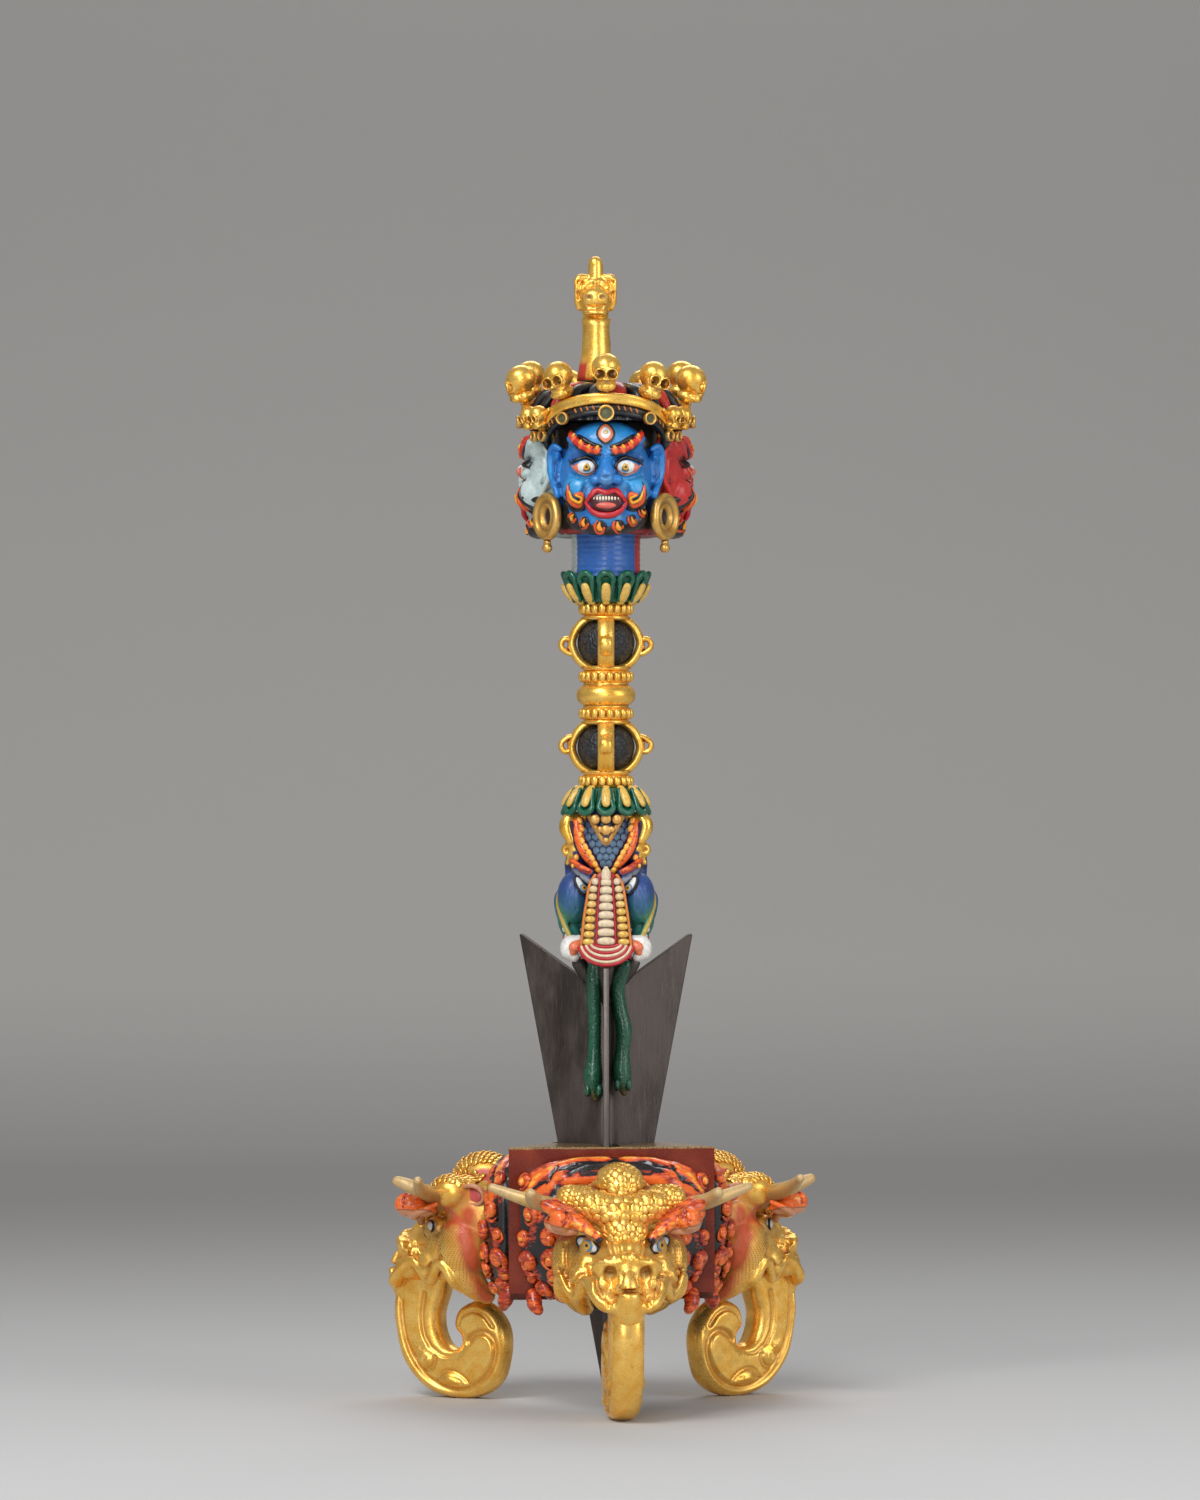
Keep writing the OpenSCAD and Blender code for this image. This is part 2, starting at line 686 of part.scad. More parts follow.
// Block that carries the three faces on its flats and the earrings at its cut corners
module head_core() {
    color("darkslategray") on_dagger() translate([0, 0, core_z]) difference() {
        intersection() {
            linear_extrude(core_top - core_z) three_sided(2 * (face_seat_r - seat_gap));
            rotate(180) linear_extrude(core_top - core_z) three_sided(2 * core_corner_r);
        }
        translate([0, 0, -1]) cylinder(r = bore_r, h = face_h + 4);
    }
}

// One face: brow, cheeks and chin as a domed shell, and a nose
module face(turn, tint) {
    mid_z = chin_z + 0.55 * face_h;
    nose_z = chin_z + 0.5 * face_h;
    function reach(f) = face_seat_r + face_depth * f;
    function low(share) = halfway(mid_z, chin_z, share);
    function high(share) = halfway(mid_z - 4, hairline_z, share);
    // Share of the depth, and share of the outline's size
    rows = [[0, 0.98], [0.3, 1], [0.55, 0.92], [0.75, 0.78], [0.9, 0.58], [1, 0.36]];
    color(tint) on_dagger(turn) {
        loft([
            for (row = rows)
                shield(reach(row[0]), low(row[1]), high(row[1]), mid_z, face_half_w * row[1], 0.85, 24)
        ]);
        loft([
            shield(reach(0.8), nose_z - 3.4, nose_z + 8, nose_z - 0.5, 4.2, 1, 12),
            shield(reach(1), nose_z - 3, nose_z + 3.4, nose_z - 0.6, 3.6, 1, 12),
            shield(reach(1) + nose_out, nose_z - 1.8, nose_z + 0.8, nose_z - 0.6, 1.6, 1, 12)
        ]);
    }
}

// Flat round earrings, one between each two faces, with a drop below
module earrings() {
    z = chin_z + 5.8;
    color("goldenrod") on_dagger() for (turn = [60, 180, -60]) rotate(turn)
        translate([0, -core_corner_r - seat_gap - 0.1 - earring_t, z]) rotate([-90, 0, 0]) {
            difference() {
                cylinder(r = earring_r, h = earring_t);
                translate([0, 0, -1]) cylinder(r = earring_r - earring_w, h = earring_t + 2);
            }
            translate([0, earring_r + 0.8, 0]) cylinder(r = 1.4, h = earring_t);
        }
}

// How high and how far out the crown lies at a bearing: 1 over a face, 0 between two
function crown_share(a) = let (b = abs((a + 420) % 120 - 60)) pow(max(cos(1.5 * b), 0), 0.6);
function crown_r(a) = crown_low_r + (crown_high_r - crown_low_r) * crown_share(a);
function crown_z(a) = band_z - band_dip * (1 - crown_share(a));

// Band that follows the crown's line, from r1 to r2 past it and from z1 to z2 above it
module crown_hoop(r1, r2, z1, z2) {
    slices = 48;
    hoop([
        for (k = [0:slices - 1])
            let (a = 360 * k / slices)
                [for (p = [[r1, z1], [r2, z1], [r2, z2], [r1, z2]])
                    [(crown_r(a) + p[0]) * sin(a), -(crown_r(a) + p[0]) * cos(a), crown_z(a) + p[1]]]
    ]);
}

module crown_band() {
    color("gold") on_dagger() crown_hoop(0, band_t, 0, band_h);
}

module hair_net() {
    color("saddlebrown") on_dagger() crown_hoop(0, net_t, -net_h - net_gap, -net_gap);
}

// Dome of hair on the head's block, inside the band
module hair_dome() {
    n = 36;
    color("black") on_dagger() loft([
        for (row = [[0, 1], [0.5, 0.98], [0.75, 0.84], [0.92, 0.6], [1, 0.42]])
            [for (k = [0:n - 1])
                let (a = 360 * k / n, r = (crown_r(a) - seat_gap) * row[1])
                    [r * sin(a), -r * cos(a), hair_z + hair_h * row[0]]]
    ]);
}

// Skull with its jaw, standing on the crown's band; size is 1 for a large one
module skull(size) {
    half_w = skull_half_w * size;
    h = skull_h * size;
    // Share of the height, and of the half width to the sides and to the front
    rows = [
        [0, 0.5, 0.5], [0.12, 0.6, 0.66], [0.32, 0.78, 0.86], [0.5, 1, 1],
        [0.68, 1, 1], [0.84, 0.82, 0.84], [0.96, 0.44, 0.5], [1, 0.14, 0.16]
    ];
    loft([for (row = rows) level_ring(row[0] * h, half_w * row[1], half_w * row[2], 0, 12)]);
}

module crown_skulls() {
    color("gold") on_dagger() for (face_turn = [0, right, left], a = [-30, 0, 30]) rotate(face_turn + a)
        translate([0, -crown_r(a) - band_t / 2, crown_z(a) + band_h + 0.66]) rotate([12, 0, 0]) skull(1);
}

module corner_skulls() {
    color("gold") on_dagger() for (corner = [60, 180, -60], a = [-6.5, 6.5]) rotate(corner + a)
        translate([0, -crown_r(60) - band_t - corner_skull_out, crown_z(60 - abs(a)) + band_h * 0.75])
            rotate([18, 0, 0]) skull(0.6);
}

// Small round bezels on the hair net
module bezels() {
    // Bearing from the face and radius of each
    specs = [[0, 2.2], [-30, 1.7], [30, 1.7], [-54, 1.5], [54, 1.5]];
    color("gold") on_dagger() for (face_turn = [0, right, left], spec = specs)
        rotate(face_turn + spec[0])
            translate([0, -crown_r(spec[0]) - band_t - 0.3, crown_z(spec[0]) - net_gap - spec[1]])
                rotate([90, 0, 0]) cylinder(r = spec[1], h = 1.1);
}

module on_finial() on_dagger() translate([-finial_shift, 0, 0]) children();

// Neck of the finial, flared where it stands on the hair
module finial_neck() {
    color("gold") on_finial() translate([0, 0, finial_z]) rotate_extrude() polygon([
        [0, 0], [finial_neck_r + 1, 0], [finial_neck_r + 0.5, 1.5], [finial_neck_r, 3.5],
        [finial_neck_r, finial_neck_h - 1], [finial_neck_r - 0.4, finial_neck_h - seat_gap],
        [0, finial_neck_h - seat_gap]
    ]);
}

// Dark mane down the back of the finial
module finial_mane() {
    back = finial_neck_r + 1 + seat_gap;
    color("midnightblue") on_finial() loft([
        for (row = [[0, 3, 1.8], [0.2, 2.8, 1.5], [0.8, 2.4, 1.4], [1, 1.6, 0.8]])
            level_ring(finial_z + row[0] * finial_neck_h, row[1], row[2], -back - row[2] * 0.98, 12)
    ]);
}

// Small horse-like head looking forwards, ears up, with a spike
module finial_head() {
    h = finial_head_h;
    rows = [
        [0, 3.4, 3.4, 0.2], [0.2 * h, 4.6, 4.4, 1.2], [0.5 * h, 5.3, 4.8, 1.4], [0.8 * h, 5, 4.2, 0.8],
        [h, 3, 3, 0], [h + 0.4, 2, 2, 0], [h + spike_h, 1.1, 1.1, 0]
    ];
    color("gold") on_finial() loft([
        for (row = rows) level_ring(finial_head_z + row[0], row[1], row[2], row[3], 16)
    ]);
}

stand_top_plate();
stand_bottom_plate();
panel(0);  // panel_front
panel(right);  // panel_right
panel(left);  // panel_left
mane(0);  // mane_front
mane(right);  // mane_right
mane(left);  // mane_left
makara_head(0);  // makara_head_front
makara_head(right);  // makara_head_right
makara_head(left);  // makara_head_left
trunk_leg(0);  // trunk_leg_front
trunk_leg(right);  // trunk_leg_right
trunk_leg(left);  // trunk_leg_left
horns(0);  // horns_front
horns(right);  // horns_right
horns(left);  // horns_left
ears(0);  // ears_front
ears(right);  // ears_right
ears(left);  // ears_left
brows(0);  // brows_front
brows(right);  // brows_right
brows(left);  // brows_left
blade();
snake(-60, 0.3);  // snake_left
snake(60, 0.7);  // snake_right
snake(180, 0.5);  // snake_rear
dagger_makara_head();
dagger_trunk();
dagger_tusks();
jewel_pendant();
lotus(lotus_low_z, lotus_low_h, -1);  // lotus_lower
bead_ring(bead_d_z, bead_outer_h);  // bead_ring_lower
globe(cage_low_z);  // globe_lower
cage(cage_low_z);  // cage_lower
bead_ring(bead_c_z, bead_inner_h);  // bead_ring_under_knob
knob();
bead_ring(bead_b_z, bead_inner_h);  // bead_ring_over_knob
globe(cage_top_z);  // globe_upper
cage(cage_top_z);  // cage_upper
bead_ring(bead_a_z, bead_outer_h);  // bead_ring_upper
lotus(lotus_top_z, lotus_top_h, 1);  // lotus_upper
neck();
head_core();
face(0, "royalblue");  // face_front
face(right, "crimson");  // face_right
face(left, "whitesmoke");  // face_left
earrings();
hair_dome();
hair_net();
crown_band();
crown_skulls();
corner_skulls();
bezels();
finial_neck();
finial_mane();
finial_head();
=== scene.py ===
import math

import bmesh
import bpy
import numpy as np
from mathutils import Matrix, Vector
from mathutils.bvhtree import BVHTree


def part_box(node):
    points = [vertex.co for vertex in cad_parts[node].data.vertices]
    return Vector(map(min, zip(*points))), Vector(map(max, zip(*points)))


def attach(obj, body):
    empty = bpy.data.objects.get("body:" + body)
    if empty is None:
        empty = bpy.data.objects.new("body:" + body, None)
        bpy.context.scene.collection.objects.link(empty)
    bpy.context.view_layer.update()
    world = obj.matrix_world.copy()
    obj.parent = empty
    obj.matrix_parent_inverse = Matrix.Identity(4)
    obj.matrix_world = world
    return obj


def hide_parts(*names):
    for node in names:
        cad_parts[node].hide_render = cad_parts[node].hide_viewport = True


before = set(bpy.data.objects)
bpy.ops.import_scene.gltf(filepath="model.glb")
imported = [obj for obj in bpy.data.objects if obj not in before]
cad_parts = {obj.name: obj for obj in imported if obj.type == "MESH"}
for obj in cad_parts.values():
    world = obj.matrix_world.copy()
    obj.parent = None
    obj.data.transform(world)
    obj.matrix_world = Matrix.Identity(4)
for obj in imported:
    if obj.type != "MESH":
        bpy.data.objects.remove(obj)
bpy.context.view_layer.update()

MM = 0.001
UP = Vector((0, 0, 1))
PHOTO_BEARING = -5.5
DAGGER_TURN = PHOTO_BEARING
SIDES = {"front": 0, "right": 120, "left": -120}
# Points closer than SEAM become one, and edges shorter than SLIVER are taken out.
SEAM, SLIVER = 0.002, 0.0005


def box_mm(node):
    low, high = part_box(node)
    return low / MM, high / MM


def bottom_of(node):
    return box_mm(node)[0].z


def top_of(node):
    return box_mm(node)[1].z


AXIS_Y = sum(corner.y for corner in box_mm("knob")) / 2


# Tools for shapes

def smooth_path(knots, count):
    """Even steps along a smooth curve through rows of numbers, such as x, y, z and radius."""
    knots = np.array(knots, float)
    ends = [2 * knots[0] - knots[1], *knots, 2 * knots[-1] - knots[-2]]
    steps = []
    for step in np.linspace(0, len(knots) - 1, count):
        i = min(int(step), len(knots) - 2)
        f = step - i
        a, b, c, d = ends[i:i + 4]
        bend = (2 * a - 5 * b + 4 * c - d) * f + (3 * b - a - 3 * c + d) * f * f
        steps.append(b + 0.5 * f * (c - a + bend))
    return np.array(steps)


def new_piece():
    """An empty mesh with the colour that each of its points is painted."""
    bm = bmesh.new()
    bm.verts.layers.float_color.new("paint")
    return bm


def coloured(bm, verts, colour):
    layer = bm.verts.layers.float_color["paint"]
    for vert in verts:
        vert[layer] = colour
        for face in vert.link_faces:
            face.smooth = True
    return verts


GOLD = (0.8, 0.5, 0.1, 0)


def surface(bm, across, along, place, paint=GOLD):
    """Sheet of faces whose points lie at place(u, v), u and v going from 0 to 1."""
    made = bmesh.ops.create_grid(bm, x_segments=across, y_segments=along, size=0.5)["verts"]
    for vert in made:
        u = round((vert.co.x + 0.5) * across) / across
        v = round((vert.co.y + 0.5) * along) / along
        vert.co = place(u, v)
    return coloured(bm, made, paint)


def ball(bm, centre, radii, turn=None, detail=3, paint=GOLD):
    """Ball with one radius or three; turn is how it is turned about its centre."""
    shape = Matrix.Translation(centre)
    if turn is not None:
        shape = shape @ turn
    radii = (radii, radii, radii) if isinstance(radii, (int, float)) else radii
    shape = shape @ Matrix.Diagonal((*radii, 1))
    made = bmesh.ops.create_icosphere(bm, subdivisions=detail, radius=1, matrix=shape)["verts"]
    return coloured(bm, made, paint)


def bar(bm, knots, sides=12, rings=None, up=UP, flat=1, paint=GOLD):
    """Bar with round ends along knots of x, y, z and radius; flat is its depth along up, as a share."""
    rings = rings or 3 * len(knots)
    steps = smooth_path(knots, rings)
    centres, radii = [Vector(step[:3]) for step in steps], [float(step[3]) for step in steps]
    ways = [(centres[min(i + 1, rings - 1)] - centres[max(i - 1, 0)]).normalized() for i in range(rings)]
    sections = []
    for way, centre, radius in zip(ways, centres, radii):
        side = way.cross(Vector(up)).normalized()
        sections.append((centre, radius, side, side.cross(way).normalized() * flat))
    cap = 3
    first, last = sections[0], sections[-1]
    start, end = [], []
    for k in range(cap + 1):
        angle = math.pi / 2 * k / cap
        grow, back = math.sin(angle), math.cos(angle)
        start.append((first[0] - ways[0] * first[1] * back, first[1] * grow, first[2], first[3]))
        end.append((last[0] + ways[-1] * last[1] * back, last[1] * grow, last[2], last[3]))
    sections = start + sections[1:-1] + end[::-1]

    def place(u, v):
        centre, radius, side, top = sections[round(v * (len(sections) - 1))]
        angle = 2 * math.pi * u
        return centre + radius * (side * math.cos(angle) + top * math.sin(angle))

    return surface(bm, sides, len(sections) - 1, place, paint)


def polar(radius, angle, height):
    """Point at a radius from the axis, at an angle from the front."""
    return radius * math.sin(angle), -radius * math.cos(angle), height


def lathe(bm, profile, steps=48, paint=GOLD):
    """Turned shape about the axis through a profile of radius and height."""
    def place(u, v):
        radius, height = profile[round(v * (len(profile) - 1))]
        return polar(radius, 2 * math.pi * u, height)

    return surface(bm, steps, len(profile) - 1, place, paint)


def since(bm, start):
    """The points that were made after the first start of them."""
    return list(bm.verts)[start:]


def moved(verts, matrix):
    for vert in verts:
        vert.co = matrix @ vert.co
    return verts


def each_once(items):
    """The items in their order, without repeats."""
    return list(dict.fromkeys(items))


def about(axis, degrees):
    return Matrix.Rotation(math.radians(degrees), 4, axis)


def about_z(degrees):
    return about("Z", degrees)


def tinted(bm, verts, colour_at):
    """Paints each point by its place."""
    layer = bm.verts.layers.float_color["paint"]
    for vert in verts:
        vert[layer] = colour_at(vert.co)
    return verts


def blend(a, b, share):
    share = min(max(share, 0), 1)
    return tuple(x + (y - x) * share for x, y in zip(a, b))


def mirrored(points, side):
    return [(side * point[0], *point[1:]) for point in points]


def arch(half):
    """A path along the mirror image of the points and back along them; the first lies in the middle."""
    return mirrored(half[:0:-1], -1) + half


def standing(out, along):
    """Turn that lays x along one way and points z out along another."""
    out = Vector(out).normalized()
    up = out.cross(Vector(along)).normalized()
    return Matrix((up.cross(out), up, out)).transposed().to_4x4()


def joined(bm):
    """Seams and poles closed, and every face turned outwards."""
    bmesh.ops.remove_doubles(bm, verts=bm.verts, dist=SEAM)
    bmesh.ops.dissolve_degenerate(bm, edges=bm.edges, dist=SLIVER)
    bmesh.ops.recalc_face_normals(bm, faces=bm.faces)
    return bm


def as_mesh(bm, name):
    mesh = bpy.data.meshes.new(name)
    joined(bm).to_mesh(mesh)
    bm.free()
    return mesh


def in_scene(name, data):
    obj = bpy.data.objects.new(name, data)
    bpy.context.scene.collection.objects.link(obj)
    return obj


def finished(bm, name, body, material, node=None, turn=DAGGER_TURN, lift=0):
    """Makes a piece from a shape in millimetres, turned about the axis, and hands it to the frame."""
    mesh = as_mesh(bm, name)
    mesh.transform(Matrix.Scale(MM, 4) @ Matrix.Translation((0, AXIS_Y, lift)) @ about_z(turn))
    mesh.shade_smooth()
    mesh.materials.append(material)
    piece = in_scene(name, mesh)
    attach(piece, body)
    if node:
        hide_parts(node)


class Clay:
    """A soft mass made from overlapping lumps, then drawn on with strokes of shape and paint."""

    def __init__(self, lumps, voxel, rounds, paint=GOLD):
        holder = in_scene("lumps", as_mesh(lumps, "lumps"))
        union = holder.modifiers.new("Union", "REMESH")
        union.mode = "VOXEL"
        union.voxel_size = voxel
        soften = holder.modifiers.new("Soften", "SMOOTH")
        soften.factor = 0.5
        soften.iterations = rounds
        graph = bpy.context.evaluated_depsgraph_get()
        self.mesh = bpy.data.meshes.new_from_object(holder.evaluated_get(graph))
        bpy.data.objects.remove(holder)
        self.count = len(self.mesh.vertices)
        self.co = np.empty(self.count * 3)
        self.mesh.vertices.foreach_get("co", self.co)
        self.co = self.co.reshape(-1, 3)
        self.paint = np.tile(np.array(paint, float), (self.count, 1))
        self.refresh()

    def refresh(self):
        """Takes up the new shape before more strokes are laid on it."""
        self.mesh.vertices.foreach_set("co", self.co.ravel())
        self.mesh.update()
        normals = np.empty(self.count * 3)
        self.mesh.vertex_normals.foreach_get("vector", normals)
        self.normal = normals.reshape(-1, 3)
        faces = [tuple(face.vertices) for face in self.mesh.polygons]
        self.tree = BVHTree.FromPolygons([Vector(co) for co in self.co], faces)

    def along(self, points, count=24):
        """A smooth path through the points, laid on the surface."""
        if len(points) > 1:
            points = smooth_path(points, count)
        return [self.facing(point)[0] for point in points]

    def facing(self, point):
        """The nearest surface point and the way that the surface faces there."""
        spot, normal, _, _ = self.tree.find_nearest(Vector(point))
        return spot, normal

    def near(self, path, reach):
        """Distances to a path, for the points that lie within reach of it."""
        path = np.array([list(point[:3]) for point in path], float)
        low, high = path.min(axis=0) - reach, path.max(axis=0) + reach
        index = np.nonzero(((self.co > low) & (self.co < high)).all(axis=1))[0]
        spots = self.co[index]
        best = np.full(len(index), 1e9)
        if len(path) == 1:
            best = np.linalg.norm(spots - path[0], axis=1)
        for a, b in zip(path[:-1], path[1:]):
            way = b - a
            share = np.clip(((spots - a) @ way) / max(way @ way, 1e-9), 0, 1)
            best = np.minimum(best, np.linalg.norm(spots - a - share[:, None] * way, axis=1))
        close = best < reach
        return index[close], best[close]

    def press(self, path, width, height, soft=1.5):
        """Raises a ridge along a path, or with a height below 0 cuts a groove."""
        index, gap = self.near(path, width)
        rise = height * (1 - (gap / width) ** 2) ** soft
        self.co[index] += self.normal[index] * rise[:, None]

    def carve(self, points, width, height, side=1, count=24):
        """Presses along a path through the points, laid on the surface; side is -1 for its mirror image."""
        self.press(self.along(mirrored(points, side), count), width, height)

    def draw(self, path, width, colour, strength, edge):
        """Paints along a path; edge is the share of the width over which the paint fades."""
        index, gap = self.near(path, width)
        share = np.clip((1 - gap / width) / edge, 0, 1) * strength
        self.paint[index] += (np.array(colour) - self.paint[index]) * share[:, None]

    def shade(self, where, colour, strength=1):
        """Paints the points with a share given by where(x, y, z), from 0 to 1."""
        share = np.clip(where(*self.co.T), 0, 1) * strength
        self.paint += (np.array(colour) - self.paint) * share[:, None]

    def onto(self, bm):
        """Puts the finished mass into a piece's mesh, paint included."""
        self.refresh()
        paint = self.mesh.color_attributes.get("paint")
        if paint is None:
            paint = self.mesh.color_attributes.new("paint", "FLOAT_COLOR", "POINT")
        paint.data.foreach_set("color", self.paint.ravel())
        bm.from_mesh(self.mesh)
        return bm


def plate(bm, at, turn, half_wide, half_long):
    """One thin domed scale."""
    made = lathe(bm, [(0, 0.30), (0.5, 0.24), (0.86, 0.10), (1, -0.08), (0.98, -0.42), (0, -0.42)], 16)
    return moved(made, Matrix.Translation(at) @ turn @ Matrix.Diagonal((half_wide, half_long, 1, 1)))


def front_spot(clay, x, z, lift=0):
    """Where a line from straight ahead meets the mass, lifted off its surface."""
    spot, normal, _, _ = clay.tree.ray_cast(Vector((x, -90, z)), Vector((0, 1, 0)))
    if spot is None:
        spot, normal = clay.facing((x, -11, z))
    return spot + normal * lift, normal


def laid(clay, points, lift=0, count=0):
    """Knots for a bar that follows the mass, from rows of x, z and radius seen from the front."""
    rows = smooth_path(points, count) if count else points
    knots = []
    for x, z, r in rows:
        spot, _ = front_spot(clay, x, z, lift)
        knots.append((*spot, float(r)))
    return knots


def strand(bm, clay, points, lift, sides, rings, colour, side=1):
    """Bar laid on the front of the mass; side is -1 for its mirror image."""
    bar(bm, laid(clay, mirrored(points, side), lift), sides, rings, (0, 1, 0), 1, colour)


# Materials

class Shader:
    """A node material with one Principled shader, whose nodes are added by short calls."""

    def __init__(self, name):
        self.material = bpy.data.materials.new(name)
        self.material.use_nodes = True
        self.tree = self.material.node_tree
        self.skin = self.tree.nodes["Principled BSDF"]
        self.place = self.node("TexCoord").outputs["Object"]

    def link(self, source, target):
        if isinstance(source, bpy.types.NodeSocket):
            self.tree.links.new(source, target)
        elif isinstance(source, tuple):
            target.default_value = (*source[:3], 1)
        else:
            target.default_value = source

    def node(self, kind):
        return self.tree.nodes.new("ShaderNode" + kind)

    def pattern(self, kind, size, stretch):
        """A pattern in the piece's own space; size is that of its patches in millimetres."""
        mapping = self.node("Mapping")
        mapping.inputs["Scale"].default_value = stretch
        self.link(self.place, mapping.inputs["Vector"])
        node = self.node(kind)
        self.link(mapping.outputs[0], node.inputs["Vector"])
        node.inputs["Scale"].default_value = 1 / (size * MM)
        return node

    def noise(self, size, detail=3, rough=0.55, stretch=(1, 1, 1)):
        """Soft cloudy pattern."""
        node = self.pattern("TexNoise", size, stretch)
        node.inputs["Detail"].default_value = detail
        node.inputs["Roughness"].default_value = rough
        return node.outputs[0]

    def cells(self, size, stretch=(1, 1, 1), feature="DISTANCE_TO_EDGE"):
        node = self.pattern("TexVoronoi", size, stretch)
        node.feature = feature
        return node.outputs["Distance"]

    def parts(self, vector):
        """The x, y and z of a vector."""
        node = self.node("SeparateXYZ")
        self.link(vector, node.inputs[0])
        return node.outputs

    def span(self, value, low, high, to_low=0, to_high=1):
        """Stretches the values from low to high over a new range, and cuts off the rest."""
        node = self.node("MapRange")
        node.interpolation_type = "SMOOTHSTEP"
        for socket, number in zip(node.inputs, (value, low, high, to_low, to_high)):
            self.link(number, socket)
        return node.outputs[0]

    def math(self, kind, a, b):
        node = self.node("Math")
        node.operation = kind
        self.link(a, node.inputs[0])
        self.link(b, node.inputs[1])
        return node.outputs[0]

    def mix(self, share, a, b):
        """Blends two colours."""
        node = self.node("Mix")
        node.data_type = "RGBA"
        self.link(share, node.inputs[0])
        self.link(a, node.inputs[6])
        self.link(b, node.inputs[7])
        return node.outputs[2]

    def crevice(self, reach):
        """1 in the open and towards 0 in the hollows of the piece itself."""
        node = self.node("AmbientOcclusion")
        node.only_local = True
        node.samples = 6
        node.inputs["Distance"].default_value = reach * MM
        return node.outputs["AO"]

    def painted(self):
        """The painted colour of the piece's points, and how much of it there is."""
        node = self.node("Attribute")
        node.attribute_name = "paint"
        return node.outputs["Color"], node.outputs["Alpha"]

    def bump(self, height, depth, below=None):
        """Fine relief; depth is in millimetres."""
        node = self.node("Bump")
        node.inputs["Strength"].default_value = 1
        node.inputs["Distance"].default_value = depth * MM
        self.link(height, node.inputs["Height"])
        if below is not None:
            self.link(below, node.inputs["Normal"])
        return node.outputs["Normal"]

    def finish(self, colour, rough, metal=0, normal=None, coat=0):
        self.link(colour, self.skin.inputs["Base Color"])
        self.link(rough, self.skin.inputs["Roughness"])
        self.link(metal, self.skin.inputs["Metallic"])
        if normal is not None:
            self.link(normal, self.skin.inputs["Normal"])
        self.skin.inputs["Coat Weight"].default_value = coat
        return self.material


def gold_leaf(name, bright, deep, wear=0.3, rough=0.26, reach=1.1):
    """Burnished gold with red-brown ground in its hollows, deepened there as painted shade, and worn spots,
    and paint where laid on, which is darkened in the hollows as painted shade.
    """
    s = Shader(name)
    cloud = s.noise(3.2, 4)
    grit = s.noise(0.35, 3, 0.65)
    colour, laid = s.painted()
    # How shut in each spot is: it lays the red-brown ground in the hollows, and its darkening there is also
    # painted shade.
    open_share = s.span(s.crevice(reach), 0.40, 0.90)
    tone = s.mix(s.span(cloud, 0.35, 0.7), bright, (0.93 * bright[0], 0.78 * bright[1], 0.5 * bright[2]))
    leaf = s.mix(open_share, deep, tone)
    rubbed = s.math("MULTIPLY", s.span(s.noise(1.7, 5, 0.7), 0.60, 0.70), wear)
    leaf = s.mix(rubbed, leaf, (0.16, 0.05, 0.015))
    strokes = s.noise(0.7, 3, 0.6, (1, 1, 0.4))
    coat = s.mix(s.span(strokes, 0.3, 0.75), s.mix(0.25, colour, (0, 0, 0)), colour)
    # Painted shade: the laid paint is darkened towards black in the hollows.
    coat = s.mix(open_share, s.mix(0.6, coat, (0.01, 0.004, 0.004)), coat)
    metal = s.math("MULTIPLY", s.math("SUBTRACT", 1, laid), s.span(open_share, 0, 1, 0.42, 0.80))
    shine = s.span(grit, 0.3, 0.75, rough - 0.05, rough + 0.14)
    shine = s.math("ADD", shine, s.math("MULTIPLY", laid, 0.12))
    relief = s.bump(grit, 0.016, s.bump(cloud, 0.06))
    return s.finish(s.mix(laid, leaf, coat), shine, metal, relief)


def old_paint(name, rough=0.36, chip=(0.02, 0.015, 0.012), chips=0.25, streak=(1, 1, 1), relief=0.05):
    """Hand-laid glossy paint in the colours of the piece's points, thin on edges, with painted shade that
    darkens it in hollows.
    """
    s = Shader(name)
    colour, _ = s.painted()
    brush = s.noise(0.9, 4, 0.6, streak)
    grit = s.noise(0.3, 2, 0.5)
    open_share = s.span(s.crevice(1), 0.2, 0.82)
    dull = s.mix(0.2, colour, (0.02, 0.012, 0.01))
    base = s.mix(s.span(brush, 0.32, 0.68), dull, colour)
    base = s.mix(s.span(s.noise(4.5, 3), 0.45, 0.8, 0, 0.10), base, s.mix(0.4, colour, (0.9, 0.85, 0.8)))
    # Painted shade: the paint is darkened towards black in the hollows.
    base = s.mix(open_share, s.mix(0.62, colour, (0.008, 0.005, 0.005)), base)
    spots = s.math("MULTIPLY", s.span(s.noise(0.8, 5, 0.75), 0.66, 0.72), chips)
    base = s.mix(spots, base, chip)
    shine = s.span(brush, 0.3, 0.8, rough - 0.08, rough + 0.14)
    return s.finish(base, shine, 0, s.bump(grit, 0.02, s.bump(brush, relief)), 0.15)


def lacquer(name, face=None):
    """Red-brown lacquer with a rubbed gold line along its very top; face is the metal of a top face."""
    s = Shader(name)
    s.skin.inputs["Specular IOR Level"].default_value = 0.3
    height = s.parts(s.place)[2]
    cloud = s.noise(6, 4)
    film = s.mix(s.span(cloud, 0.3, 0.75), (0.145, 0.014, 0.005), (0.225, 0.032, 0.011))
    scuff = s.span(s.noise(1.4, 5, 0.75), 0.6, 0.72, 0, 0.25)
    film = s.mix(scuff, film, (0.34, 0.066, 0.024))
    edge_z = (top_of("stand_top_plate") - 0.42) * MM
    edge = s.span(s.math("ADD", height, s.math("MULTIPLY", cloud, 0.0003)), edge_z, edge_z + 0.0002)
    colour = s.mix(edge, film, (0.62, 0.42, 0.17))
    if face:
        upward = s.parts(s.node("NewGeometry").outputs["Normal"])[2]
        edge = s.math("MAXIMUM", edge, s.span(upward, 0.5, 0.9))
        metal = s.mix(s.span(s.noise(0.7, 4, 0.7), 0.45, 0.7), face, (0.11, 0.06, 0.03))
        colour = s.mix(edge, film, metal)
    shine = s.span(s.noise(0.8, 4), 0.3, 0.8, 0.20, 0.36)
    return s.finish(colour, shine, s.math("MULTIPLY", edge, 0.7), s.bump(cloud, 0.05), 0.12)


